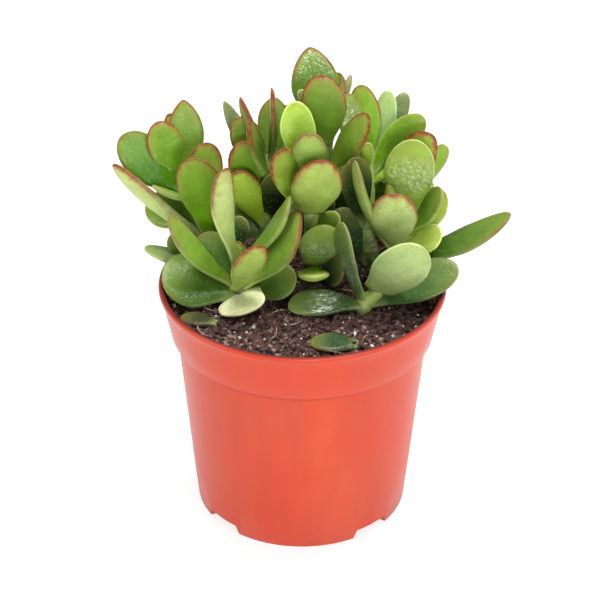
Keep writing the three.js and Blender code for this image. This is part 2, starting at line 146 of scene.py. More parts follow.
def model_by_rings(
    name: str, rings: list[list[Vector]], cap_first: bool = True, cap_last: bool = True
) -> bpy.types.Object:
    """Model a skin as by hand: a circle, extruded ring after ring, each new ring put in its place.

    Args:
        name: name of the new object.
        rings: the rings in order, each with the same number of points, in metres.
        cap_first: close the first ring with a face.
        cap_last: close the last ring with a face.

    Returns:
        The new object, with its place in its mesh.
    """
    deselect_all()
    count = len(rings[0])
    bpy.ops.mesh.primitive_circle_add(vertices=count, radius=0.01, fill_type="NOTHING")
    obj = bpy.context.object
    obj.name = obj.data.name = name
    bpy.ops.object.mode_set(mode="EDIT")
    bpy.ops.mesh.select_mode(type="EDGE")
    bpy.ops.mesh.select_all(action="SELECT")
    shape = bmesh.from_edit_mesh(obj.data)
    shape.verts.ensure_lookup_table()
    loop = list(shape.verts)
    for vert, place in zip(loop, rings[0]):
        vert.co = place
    keys = [vert.index for vert in loop]
    for ring in rings[1:]:
        bpy.ops.mesh.extrude_region_move()
        shape = bmesh.from_edit_mesh(obj.data)
        shape.verts.ensure_lookup_table()
        fresh = []
        for key, place in zip(keys, ring):
            old = shape.verts[key]
            new = next(e.other_vert(old) for e in old.link_edges if e.other_vert(old).select)
            new.co = place
            fresh.append(new)
        shape.verts.index_update()
        keys = [vert.index for vert in fresh]
    bmesh.update_edit_mesh(obj.data)
    if cap_last:
        bpy.ops.mesh.edge_face_add()
    if cap_first:
        bpy.ops.mesh.select_all(action="DESELECT")
        shape = bmesh.from_edit_mesh(obj.data)
        for edge in shape.edges:
            edge.select_set(edge.is_boundary)
        bmesh.update_edit_mesh(obj.data)
        bpy.ops.mesh.edge_face_add()
    bpy.ops.mesh.select_all(action="SELECT")
    if cap_first and cap_last:
        bpy.ops.mesh.normals_make_consistent(inside=False)
    bpy.ops.object.mode_set(mode="OBJECT")
    return obj


def cut_or_join(body: bpy.types.Object, tool: bpy.types.Object, operation: str) -> None:
    """Cut a tool shape from a body, or join it on, and delete the tool.

    Args:
        body: the piece that is kept.
        tool: the shape that is cut out or joined on.
        operation: "DIFFERENCE" or "UNION".
    """
    make_active(body)
    modifier = body.modifiers.new("cut", "BOOLEAN")
    modifier.operation = operation
    modifier.object = tool
    modifier.solver = "EXACT"
    bpy.ops.object.modifier_apply(modifier=modifier.name)
    bpy.data.objects.remove(tool)


def join(objects: list[bpy.types.Object], name: str) -> bpy.types.Object:
    """Join objects into one.

    Args:
        objects: the objects, the first of which takes in the others.
        name: name of the joined object.

    Returns:
        The joined object.
    """
    deselect_all()
    for obj in objects:
        obj.select_set(True)
    bpy.context.view_layer.objects.active = objects[0]
    bpy.ops.object.join()
    objects[0].name = objects[0].data.name = name
    return objects[0]


def settle(obj: bpy.types.Object, node: str | None, material: bpy.types.Material) -> None:
    """Dress a piece, let it ride on the body, and hide the solid that it stands for.

    Args:
        obj: the finished piece.
        node: the solid that it replaces, or None for a piece that only adds detail.
        material: its finish.
    """
    obj.data.materials.clear()
    obj.data.materials.append(material)
    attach(obj, "root")
    if node is not None:
        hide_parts(node)
    LOG.info("%s: %d faces", obj.name, len(obj.data.polygons))


# ---------------------------------------------------------------------------------------------
# finishes
# ---------------------------------------------------------------------------------------------
class Tone(Enum):
    """Greens of the leaves: the colour of the upper face. The darkest ones are painted shade, for leaves that
    lie deep in the shade of others.
    """

    LIME = "#A2C24A"
    FRESH = "#8AA642"
    MID = "#6E8E38"
    DEEP = "#4E6C2C"
    # painted shade: a darker green for leaves that show dark in the shade of others
    SHADE = "#39552A"
    GREY = "#8CA56C"
    STONE = "#50694A"
    # painted shade: the darkest green, for leaves deep among the others, set where little but shade shows
    NIGHT = "#22351C"
    PALE = "#B4C67E"
    GRASS = "#6C962E"
    MOSS = "#4A7A1E"
    TENDER = "#C2D868"
    CREAM = "#F0F4C0"
    FALLEN = "#364A2E"
    # a dull olive darkened as painted shade, for a leaf low on the soil and one deep in the crown
    WILTED = "#3E4028"


@dataclass(frozen=True)
class MouldedPolypropylene:
    """Thin injection-moulded polypropylene, coloured in the mass: an even, slightly waxy half gloss."""

    colour: str = "#C43A1C"
    worn: str = "#D45430"
    deep: str = "#A8301C"
    # the next two colours are painted shade: the dark inside and lip top, and the shade under the band and at
    # the foot
    inside: str = "#6E2422"
    painted_shade: str = "#7A2A1C"
    dust: str = "#8A3A28"
    roughness: float = 0.38

    def build(self) -> bpy.types.Material:
        """Build the node tree of the plastic.

        Returns:
            The material.
        """
        g = NodeGraph("moulded_polypropylene")
        place = g.add("TexCoord").outputs["Object"]
        # flow marks of the melt: tall soft streaks about 12 mm wide
        tall = g.add("Mapping", {"Vector": place, "Scale": (1.0, 1.0, 0.22)}).outputs[0]
        flow = g.add("TexNoise", {"Vector": tall, "Scale": 55.0, "Detail": 3.0, "Roughness": 0.55})
        blotch = g.add("TexNoise", {"Vector": place, "Scale": 28.0, "Detail": 2.0})
        base = g.add(
            "Mix",
            {0: flow.outputs["Fac"], 6: linear(self.deep), 7: linear(self.worn)},
            data_type="RGBA",
        )
        ramp = g.add("MapRange", {0: blotch.outputs["Fac"], 1: 0.35, 2: 0.65, 3: 0.3, 4: 0.95})
        tone = g.add(
            "Mix", {0: ramp.outputs[0], 6: linear(self.colour), 7: base.outputs[2]}, data_type="RGBA"
        )
        # dust of peat that lies thinly on the plastic, in specks of about half a millimetre
        specks = g.add("TexVoronoi", {"Vector": place, "Scale": 420.0}, feature="F1")
        few = g.add("TexNoise", {"Vector": place, "Scale": 60.0, "Detail": 2.0})
        dot = g.add("MapRange", {0: specks.outputs["Distance"], 1: 0.10, 2: 0.18, 3: 1.0, 4: 0.0})
        where = g.add("MapRange", {0: few.outputs["Fac"], 1: 0.62, 2: 0.70, 3: 0.0, 4: 0.5})
        dust = g.add("Math", {0: dot.outputs[0], 1: where.outputs[0]}, operation="MULTIPLY")
        colour = g.add(
            "Mix", {0: dust.outputs[0], 6: tone.outputs[2], 7: linear(self.dust)}, data_type="RGBA"
        )
        # painted shade: a dark maroon on the inner face and the lip's top, and a darker red under the band
        # and at the foot
        inner = g.add("Attribute", attribute_name="inner").outputs["Fac"]
        crease = g.add("Attribute", attribute_name="crease").outputs["Fac"]
        inside_shaded = g.add("Mix", {0: inner, 6: colour.outputs[2], 7: linear(self.inside)}, data_type="RGBA")
        # painted shade under the band and at the foot
        deepest = g.add("MapRange", {0: crease, 3: 0.0, 4: 0.4})
        shaded = g.add(
            "Mix", {0: deepest.outputs[0], 6: inside_shaded.outputs[2], 7: linear(self.painted_shade)}, data_type="RGBA"
        )
        grain = g.add("TexNoise", {"Vector": place, "Scale": 900.0, "Detail": 2.0})
        rough = g.add(
            "MapRange",
            {0: flow.outputs["Fac"], 1: 0.3, 2: 0.7, 3: self.roughness - 0.05, 4: self.roughness + 0.07},
        )
        fine = g.add("Bump", {"Height": grain.outputs["Fac"], "Strength": 0.10, "Distance": 0.0002})
        # the wall is thin, so it waves a little over some 25 mm
        wave = g.add("TexNoise", {"Vector": tall, "Scale": 40.0, "Detail": 1.0})
        bump = g.add(
            "Bump",
            {"Height": wave.outputs["Fac"], "Normal": fine.outputs[0], "Strength": 0.25, "Distance": 0.0015},
        )
        shader = g.add(
            "BsdfPrincipled",
            {
                "Base Color": shaded.outputs[2],
                "Roughness": rough.outputs[0],
                "Normal": bump.outputs[0],
                "IOR": 1.36,
                "Specular IOR Level": 0.46,
                "Coat Weight": 0.12,
                "Coat Roughness": 0.18,
                "Coat IOR": 1.35,
            },
        )
        return g.finish(shader)


@dataclass(frozen=True)
class PeatSubstrate:
    """Milled peat, damp and almost black-brown, matt, with paler crumbs and fibre in it."""

    dark: str = "#1F1614"
    brown: str = "#745046"
    pale: str = "#A08880"

    def build(self) -> bpy.types.Material:
        """Build the node tree of the peat.

        Returns:
            The material.
        """
        g = NodeGraph("milled_peat")
        place = g.add("TexCoord").outputs["Object"]
        lump = g.add("TexNoise", {"Vector": place, "Scale": 460.0, "Detail": 6.0, "Roughness": 0.75})
        crumb = g.add("TexVoronoi", {"Vector": place, "Scale": 620.0}, feature="F1")
        tone = g.add("MapRange", {0: lump.outputs["Fac"], 1: 0.40, 2: 0.64, 3: 0.0, 4: 1.0})
        body = g.add(
            "Mix", {0: tone.outputs[0], 6: linear(self.dark), 7: linear(self.brown)}, data_type="RGBA"
        )
        # single grains of paler bark, each about 1 mm
        pick = g.add("SeparateColor", {0: crumb.outputs["Color"]})
        chosen = g.add("MapRange", {0: pick.outputs[0], 1: 0.86, 2: 0.93, 3: 0.0, 4: 0.8})
        colour = g.add(
            "Mix", {0: chosen.outputs[0], 6: body.outputs[2], 7: linear(self.pale)}, data_type="RGBA"
        )
        bump = g.add("Bump", {"Height": lump.outputs["Fac"], "Strength": 0.9, "Distance": 0.0012})
        small = g.add(
            "Bump",
            {
                "Height": crumb.outputs["Distance"],
                "Normal": bump.outputs[0],
                "Strength": 0.6,
                "Distance": 0.0006,
            },
        )
        shader = g.add(
            "BsdfPrincipled",
            {
                "Base Color": colour.outputs[2],
                "Roughness": 0.88,
                "Normal": small.outputs[0],
                "Specular IOR Level": 0.25,
            },
        )
        return g.finish(shader)


@dataclass(frozen=True)
class LooseGrain:
    """A loose grain in the soil, such as perlite or bark fibre: matt, with a mottle of its own."""

    name: str
    colour: str
    shade: str
    grain_mm: float
    roughness: float = 0.85

    def build(self) -> bpy.types.Material:
        """Build the node tree of the grain.

        Returns:
            The material.
        """
        g = NodeGraph(self.name)
        place = g.add("TexCoord").outputs["Object"]
        mottle = g.add("TexNoise", {"Vector": place, "Scale": 1000.0 / self.grain_mm, "Detail": 3.0})
        fac = g.add("MapRange", {0: mottle.outputs["Fac"], 1: 0.35, 2: 0.65})
        colour = g.add(
            "Mix", {0: fac.outputs[0], 6: linear(self.shade), 7: linear(self.colour)}, data_type="RGBA"
        )
        bump = g.add("Bump", {"Height": mottle.outputs["Fac"], "Strength": 0.6, "Distance": 0.0003})
        shader = g.add(
            "BsdfPrincipled",
            {"Base Color": colour.outputs[2], "Roughness": self.roughness, "Normal": bump.outputs[0]},
        )
        return g.finish(shader)


@dataclass(frozen=True)
class LeafCuticle:
    """A jade leaf: thick flesh under a waxy cuticle, so a broad soft sheen and a little light within.

    The mesh carries the leaf's green (`green`), how red its margin is (`blush`), 1 on the margin
    (`margin`), 0 to 1 from root to tip (`along`), 1 on the underside (`under`) and how strongly its
    glossy patch shines (`shine`), which sets its coat and its painted glints.
    """

    name: str = "jade_leaf_cuticle"
    under: str = "#B4C77C"
    margin: str = "#7C3626"
    margin_soft: str = "#A06A36"
    line: str = "#3C3618"
    glint: str = "#EDF3DC"
    pore: str = "#C9DC92"
    tip: str = "#A9B84A"
    young: str = "#B4C66C"
    roughness: float = 0.34

    def build(self) -> bpy.types.Material:
        """Build the node tree of the leaves.

        Returns:
            The material.
        """
        g = NodeGraph(self.name)
        place = g.add("TexCoord").outputs["Object"]
        green = g.add("Attribute", attribute_name="green").outputs["Color"]
        blush, margin, along, under, shine = (
            g.add("Attribute", attribute_name=key).outputs["Fac"]
            for key in ("blush", "margin", "along", "under", "shine")
        )

        # cloudy mottle of the flesh, patches of about 6 mm, and a finer one of about 1 mm
        cloud = g.add("TexNoise", {"Vector": place, "Scale": 160.0, "Detail": 3.0, "Roughness": 0.6})
        grain = g.add("TexNoise", {"Vector": place, "Scale": 1100.0, "Detail": 2.0})
        pale_side = g.add("MapRange", {0: under, 3: 0.0, 4: 0.32})
        side = g.add("Mix", {0: pale_side.outputs[0], 6: green, 7: linear(self.under)}, data_type="RGBA")
        lift = g.add("MapRange", {0: cloud.outputs["Fac"], 1: 0.3, 2: 0.7, 3: 0.84, 4: 1.16})
        fine = g.add("MapRange", {0: grain.outputs["Fac"], 1: 0.3, 2: 0.7, 3: 0.94, 4: 1.06})
        both = g.add("Math", {0: lift.outputs[0], 1: fine.outputs[0]}, operation="MULTIPLY")
        # painted shade: a leaf is painted darker and more saturated towards its root, where the other leaves
        # shade it
        depth = g.add("MapRange", {0: along, 1: 0.05, 2: 0.85, 3: 0.68, 4: 1.10})
        value = g.add("Math", {0: both.outputs[0], 1: depth.outputs[0]}, operation="MULTIPLY")
        full = g.add("MapRange", {0: along, 1: 0.05, 2: 0.85, 3: 1.12, 4: 1.0})
        body = g.add(
            "HueSaturation",
            {"Value": value.outputs[0], "Saturation": full.outputs[0], "Color": side.outputs[2]},
        )

        # water pores: pale dots about 0.25 mm wide, near 1.2 mm apart, drawn a little coarse to show
        pore = g.add("TexVoronoi", {"Vector": place, "Scale": 800.0}, feature="F1")
        dot = g.add("MapRange", {0: pore.outputs["Distance"], 1: 0.12, 2: 0.26, 3: 0.16, 4: 0.0})
        dotted = g.add("Mix", {0: dot.outputs[0], 6: body.outputs[0], 7: linear(self.pore)}, data_type="RGBA")

        # towards the tip the green turns a little yellow, and red where the leaf has had much light
        tipward = g.add("MapRange", {0: along, 1: 0.55, 2: 1.0, 3: 0.0, 4: 0.22})
        warm = g.add(
            "Mix", {0: tipward.outputs[0], 6: dotted.outputs[2], 7: linear(self.tip)}, data_type="RGBA"
        )
        # young flesh next to the stem is paler
        rootward = g.add("MapRange", {0: along, 1: 0.02, 2: 0.22, 3: 0.35, 4: 0.0})
        young = g.add(
            "Mix", {0: rootward.outputs[0], 6: warm.outputs[2], 7: linear(self.young)}, data_type="RGBA"
        )
        # painted highlight: the rounded margin is painted as a paler line about half a millimetre wide, where
        # it catches light;
        # it dries to a thin brown one towards the tip
        pale = g.add("HueSaturation", {"Value": 1.55, "Saturation": 0.85, "Color": young.outputs[2]})
        thin = g.add("MapRange", {0: margin, 1: 0.80, 2: 0.97, 3: 0.0, 4: 0.9})
        lit = g.add("Mix", {0: thin.outputs[0], 6: young.outputs[2], 7: pale.outputs[0]}, data_type="RGBA")
        narrow = g.add("MapRange", {0: margin, 1: 0.70, 2: 0.88, 3: 0.0, 4: 0.85})
        dry = g.add("MapRange", {0: along, 1: 0.30, 2: 0.66, 3: 0.0, 4: 0.90})
        outline = g.add("Math", {0: narrow.outputs[0], 1: dry.outputs[0]}, operation="MULTIPLY")
        sun = g.add("MapRange", {0: blush, 1: 0.12, 2: 0.45, 3: 0.1, 4: 1.0})
        drawn = g.add("Math", {0: outline.outputs[0], 1: sun.outputs[0]}, operation="MULTIPLY")
        rimmed = g.add(
            "Mix", {0: drawn.outputs[0], 6: lit.outputs[2], 7: linear(self.line)}, data_type="RGBA"
        )
        # the red of the margin is lumpy, in bits of 2 to 3 mm, and reaches in furthest at the tip
        lumps = g.add("TexNoise", {"Vector": place, "Scale": 380.0, "Detail": 3.0, "Roughness": 0.6})
        ragged = g.add("MapRange", {0: lumps.outputs["Fac"], 1: 0.3, 2: 0.7, 3: -0.30, 4: 0.30})
        reach = g.add("MapRange", {0: along, 1: 0.45, 2: 1.0, 3: -0.22, 4: 0.20})
        ready = g.add("Math", {0: margin, 1: reach.outputs[0]}, operation="ADD")
        edge = g.add("Math", {0: ready.outputs[0], 1: ragged.outputs[0]}, operation="ADD")
        soft = g.add("MapRange", {0: edge.outputs[0], 1: 0.05, 2: 0.80, 3: 0.0, 4: 0.85})
        soft_red = g.add("Math", {0: soft.outputs[0], 1: blush}, operation="MULTIPLY")
        flushed = g.add(
            "Mix",
            {0: soft_red.outputs[0], 6: rimmed.outputs[2], 7: linear(self.margin_soft)},
            data_type="RGBA",
        )
        hard = g.add("MapRange", {0: edge.outputs[0], 1: 0.78, 2: 1.15, 3: 0.0, 4: 0.9})
        hard_red = g.add("Math", {0: hard.outputs[0], 1: blush}, operation="MULTIPLY")
        red = g.add(
            "Mix", {0: hard_red.outputs[0], 6: flushed.outputs[2], 7: linear(self.margin)}, data_type="RGBA"
        )
        # the skin is hammered, with dimples about 1.5 mm across; where the glossy patch lies, pale glints are
        # painted on their crests as a painted highlight
        swell = g.add("TexNoise", {"Vector": place, "Scale": 560.0, "Detail": 2.0})
        crest = g.add("MapRange", {0: swell.outputs["Fac"], 1: 0.46, 2: 0.66, 3: 0.04, 4: 0.20})
        waxy = g.add("Math", {0: crest.outputs[0], 1: shine}, operation="MULTIPLY")
        colour = g.add("Mix", {0: waxy.outputs[0], 6: red.outputs[2], 7: linear(self.glint)}, data_type="RGBA")

        sheen = g.add(
            "MapRange",
            {0: cloud.outputs["Fac"], 1: 0.3, 2: 0.7, 3: self.roughness - 0.06, 4: self.roughness + 0.08},
        )
        relief = g.add("MapRange", {0: shine, 3: 0.22, 4: 0.8})
        soft_bump = g.add(
            "Bump", {"Height": swell.outputs["Fac"], "Strength": relief.outputs[0], "Distance": 0.0007}
        )
        fine_bump = g.add(
            "Bump",
            {
                "Height": grain.outputs["Fac"],
                "Normal": soft_bump.outputs[0],
                "Strength": 0.18,
                "Distance": 0.0002,
            },
        )
        polish = g.add("MapRange", {0: shine, 3: 0.06, 4: 1.0})
        hammer = g.add("MapRange", {0: shine, 3: 0.20, 4: 1.0})
        dimple = g.add(
            "Bump", {"Height": swell.outputs["Fac"], "Strength": hammer.outputs[0], "Distance": 0.0009}
        )
        shader = g.add(
            "BsdfPrincipled",
            {
                "Base Color": colour.outputs[2],
                "Roughness": sheen.outputs[0],
                "Normal": fine_bump.outputs[0],
                "IOR": 1.43,
                "Specular IOR Level": 0.15,
                "Subsurface Weight": 0.10,
                "Subsurface Radius": (0.6, 1.0, 0.25),
                "Subsurface Scale": 0.002,
                "Coat Weight": polish.outputs[0],
                "Coat Roughness": 0.08,
                "Coat IOR": 1.9,
                "Coat Normal": dimple.outputs[0],
            },
        )
        return g.finish(shader)


@dataclass(frozen=True)
class YoungBark:
    """The skin of a jade stem: green and smooth above, corky and brown towards the soil, and painted darker
    there as shade.
    """

    green: str = "#93AC58"
    olive: str = "#4E5A2C"
    brown: str = "#3A3022"
    scar: str = "#A3A468"

    def build(self) -> bpy.types.Material:
        """Build the node tree of the bark.

        Returns:
            The material.
        """
        g = NodeGraph("young_jade_bark")
        place = g.add("TexCoord").outputs["Object"]
        height = g.add("Attribute", attribute_name="along").outputs["Fac"]
        ring = g.add("Attribute", attribute_name="ring").outputs["Fac"]
        cork = g.add("TexNoise", {"Vector": place, "Scale": 380.0, "Detail": 4.0, "Roughness": 0.65})
        shift = g.add("MapRange", {0: cork.outputs["Fac"], 1: 0.3, 2: 0.7, 3: -0.18, 4: 0.18})
        level = g.add("Math", {0: height, 1: shift.outputs[0]}, operation="ADD")
        # the bark turns corky brown towards the soil, and is painted darker there as well, as painted shade
        # among the low leaves
        low = g.add("MapRange", {0: level.outputs[0], 1: 0.06, 2: 0.30})
        high = g.add("MapRange", {0: level.outputs[0], 1: 0.32, 2: 0.62})
        woody = g.add(
            "Mix", {0: low.outputs[0], 6: linear(self.brown), 7: linear(self.olive)}, data_type="RGBA"
        )
        skin = g.add(
            "Mix", {0: high.outputs[0], 6: woody.outputs[2], 7: linear(self.green)}, data_type="RGBA"
        )
        mark = g.add("MapRange", {0: ring, 1: 0.4, 2: 1.0, 3: 0.0, 4: 0.7})
        colour = g.add(
            "Mix", {0: mark.outputs[0], 6: skin.outputs[2], 7: linear(self.scar)}, data_type="RGBA"
        )
        bump = g.add("Bump", {"Height": cork.outputs["Fac"], "Strength": 0.5, "Distance": 0.0005})
        shader = g.add(
            "BsdfPrincipled",
            {
                "Base Color": colour.outputs[2],
                "Roughness": 0.55,
                "Normal": bump.outputs[0],
            },
        )
        return g.finish(shader)


@dataclass(frozen=True)
class StudioPaper:
    """The white paper that the pot stands on: plain and matt, lit until it is almost white."""

    colour: str = "#A8A8A8"
    glow: float = 0.76

    def build(self) -> bpy.types.Material:
        """Build the node tree of the paper.

        Returns:
            The material.
        """
        g = NodeGraph("studio_paper")
        shader = g.add(
            "BsdfPrincipled",
            {
                "Base Color": linear(self.colour),
                "Roughness": 0.95,
                "Specular IOR Level": 0.0,
                "Emission Color": (1.0, 1.0, 1.0, 1.0),
                "Emission Strength": self.glow,
            },
        )
        return g.finish(shader)


# ---------------------------------------------------------------------------------------------
# pot
# ---------------------------------------------------------------------------------------------
@dataclass
class NurseryPot:
    """The tapered pot: a thin moulded shell with a wide band, a rounded lip and four drainage notches."""

    outside: tuple = (
        (0, 43.9), (0.3, 44.5), (0.9, 44.95), (20, 46.84), (40, 48.72), (60, 50.6), (78, 52.28),
        (79.4, 52.40), (80.6, 52.51), (81.2, 52.56), (81.7, 52.8), (81.95, 53.4), (82.05, 54.3),
        (82.3, 54.75), (82.9, 55.05),
        (90, 56.5), (98, 58.25), (101.6, 59.0), (102.2, 59.35), (102.6, 59.7), (103.3, 59.98),
        (103.9, 60.0), (104.5, 59.8), (104.9, 59.4), (105, 58.95),
    )
    inside: tuple = (
        (104.85, 58.5), (104.4, 58.2), (103.8, 57.55), (98, 56.3), (90, 54.7), (83.6, 53.45),
        (82.4, 52.4), (81, 51.1), (60, 49.15), (40, 47.25), (20, 45.35), (2.4, 43.6), (1.8, 43.1),
    )
    sides: int = 160
    notch_first: float = -48.0
    notch_count: int = 4
    notch_span: float = 21.5
    notch_height: float = 4.5
    notch_from: float = 34.0
    notch_flare: float = 2.6
    drain_radius: float = 3.0
    drain_at: float = 39.0
    # the raised floor over a notch: its wall, its sides in degrees past the notch, where it starts
    # in height, and how far out it goes, into the pot's own wall
    roof_wall: float = 1.5
    roof_side: float = 2.2
    roof_from: float = 1.0
    roof_to: float = 44.2
    # the notch: degrees that each side is drawn in at the top, and how far past the pot it is cut
    gap_side: float = 0.6
    gap_from: float = -1.0
    gap_to: float = 50.0
    # painted shade on the shell: on the lip's top, on the inner face, under the band and at the foot
    lip_radius: float = 60.0
    lip_from: float = 103.8
    inside_from: float = 84.0
    inside_depth: float = 1.0
    band_shade: tuple = (79.3, 80.8)
    band_shade_top: float = 82.2
    foot_height: float = 1.0
    foot_shade: float = 0.75
    smooth_below: float = 32.0  # edges that turn less than this, in degrees, are shaded smooth

    def ring(self, radius: float, height: float) -> list[Vector]:
        """Points of one level ring of the shell, in metres."""
        turn = 2 * math.pi / self.sides
        return [
            Vector((radius * math.cos(i * turn), radius * math.sin(i * turn), height)) * MM
            for i in range(self.sides)
        ]

    def sector(
        self, middle: float, half: float, radii: tuple, heights: tuple, name: str, flare: float = 0.0
    ) -> bpy.types.Object:
        """Model a block that is a sector of a ring.

        Args:
            middle: azimuth of its middle, in degrees.
            half: half its angle, in degrees.
            radii: inner and outer radius.
            heights: bottom and top.
            name: name of the block.
            flare: degrees by which each side leans out towards the bottom.

        Returns:
            The block.
        """
        rings = []
        for step in range(13):
            ring = []
            for r, z in ((radii[0], 0), (radii[1], 0), (radii[1], 1), (radii[0], 1)):
                angle = math.radians(middle + (half + (1 - z) * flare) * (step - 6) / 6)
                ring.append(Vector((r * math.cos(angle), r * math.sin(angle), heights[z])) * MM)
            rings.append(ring)
        return model_by_rings(name, rings)

    def shell(self) -> bpy.types.Object:
        """Extrude the wall ring by ring from the foot over the lip to the floor, and close both floors."""
        rings = [self.ring(r, z) for z, r in self.outside + self.inside]
        return model_by_rings("nursery_pot", rings)

    def cut_notches(self, pot: bpy.types.Object) -> None:
        """Raise the floor over each notch, then cut the notch and the drain hole through its roof.

        Args:
            pot: the shell, which is changed.
        """
        middles = [self.notch_first + 360 / self.notch_count * i for i in range(self.notch_count)]
        half = self.notch_span / 2
        roof_radii = (self.notch_from - self.roof_wall, self.roof_to)
        roof_heights = (self.roof_from, self.notch_height + self.roof_wall)
        gap_radii = (self.notch_from, self.gap_to)
        gap_heights = (self.gap_from, self.notch_height)
        roofs = [
            self.sector(m, half + self.roof_side, roof_radii, roof_heights, f"roof_{i}")
            for i, m in enumerate(middles)
        ]
        cut_or_join(pot, join(roofs, "roofs"), "UNION")
        gaps = [
            self.sector(m, half - self.gap_side, gap_radii, gap_heights, f"gap_{i}", self.notch_flare)
            for i, m in enumerate(middles)
        ]
        cut_or_join(pot, join(gaps, "gaps"), "DIFFERENCE")
        drains = []
        for m in middles:
            deselect_all()
            a = math.radians(m)
            bpy.ops.mesh.primitive_cylinder_add(
                vertices=24,
                radius=self.drain_radius * MM,
                depth=0.012,
                location=(self.drain_at * math.cos(a) * MM, self.drain_at * math.sin(a) * MM, 0.005),
            )
            bpy.ops.object.transform_apply(location=True)
            drains.append(bpy.context.object)
        cut_or_join(pot, join(drains, "drains"), "DIFFERENCE")

    def clear_slivers(self, pot: bpy.types.Object) -> None:
        """Split the shell into triangles and delete the slivers that the cuts leave on it.

        A floor and a notch wall that share an almost straight edge both give the same thin
        triangle there. Only one of the two is kept by the mesh, and it hangs on by one side.

        Args:
            pot: the cut shell.
        """
        make_active(pot)
        bpy.ops.object.mode_set(mode="EDIT")
        bpy.ops.mesh.select_mode(type="FACE")
        bpy.ops.mesh.select_all(action="SELECT")
        bpy.ops.mesh.quads_convert_to_tris(quad_method="BEAUTY", ngon_method="BEAUTY")
        bpy.ops.mesh.select_all(action="DESELECT")
        bpy.ops.object.mode_set(mode="OBJECT")
        users = Counter(key for face in pot.data.polygons for key in face.edge_keys)
        for face in pot.data.polygons:
            face.select = any(users[key] == 1 for key in face.edge_keys)
        slivers = sum(face.select for face in pot.data.polygons)
        LOG.info("nursery_pot: %d slivers cleared from the cuts", slivers)
        bpy.ops.object.mode_set(mode="EDIT")
        bpy.ops.mesh.delete(type="ONLY_FACE")
        bpy.ops.mesh.select_all(action="SELECT")
        bpy.ops.mesh.delete_loose()
        bpy.ops.object.mode_set(mode="OBJECT")

    def mark(self, pot: bpy.types.Object) -> None:
        """Write where the inner face and the lip's top are painted in shade (`inner`), and the painted shade
        under the band and at the foot (`crease`).

        Args:
            pot: the cut shell.
        """
        inner = pot.data.attributes.new("inner", "FLOAT", "POINT")
        crease = pot.data.attributes.new("crease", "FLOAT", "POINT")
        for i, vert in enumerate(pot.data.vertices):
            r, z = math.hypot(vert.co.x, vert.co.y) / MM, vert.co.z / MM
            outer = next(
                (
                    mix_value(a[1], b[1], (z - a[0]) / (b[0] - a[0]))
                    for a, b in zip(self.outside, self.outside[1:])
                    if a[0] <= z <= b[0]
                ),
                r,
            )
            # the lip's top and the inner face take painted shade
            top = smooth(self.lip_radius - r, 0.1, 0.55) if z > self.lip_from else 0.0
            within = z > self.inside_from and outer - r > self.inside_depth
            inner.data[i].value = max(top, 1.0 if within else 0.0)
            # painted shade under the band and at the foot
            under = smooth(z, *self.band_shade) if z < self.band_shade_top else 0.0
            foot = 1 - smooth(z, 0.0, self.foot_height)
            crease.data[i].value = max(under, self.foot_shade * foot)

    def build(self, finish: MouldedPolypropylene) -> None:
        """Model the pot and dress it.

        Args:
            finish: the plastic that it is moulded in.
        """
        pot = self.shell()
        self.cut_notches(pot)
        self.clear_slivers(pot)
        self.mark(pot)
        make_active(pot)
        bpy.ops.object.shade_smooth_by_angle(angle=math.radians(self.smooth_below))
        settle(pot, "pot", finish.build())


# ---------------------------------------------------------------------------------------------
# soil
# ---------------------------------------------------------------------------------------------
def soil_height(x: float, y: float) -> float:
    """Height of the soil's even surface, with the same waves as in the solid.

    Args:
        x: place along X, in mm.
        y: place along Y, in mm.

    Returns:
        The height in mm.
    """
    return (
        SOIL_TOP
        + 0.25 * math.sin(0.31 * x + 1)
        + 0.2 * math.sin(0.37 * y + 2)
        + 0.15 * math.sin(0.2 * (x + y))
    )


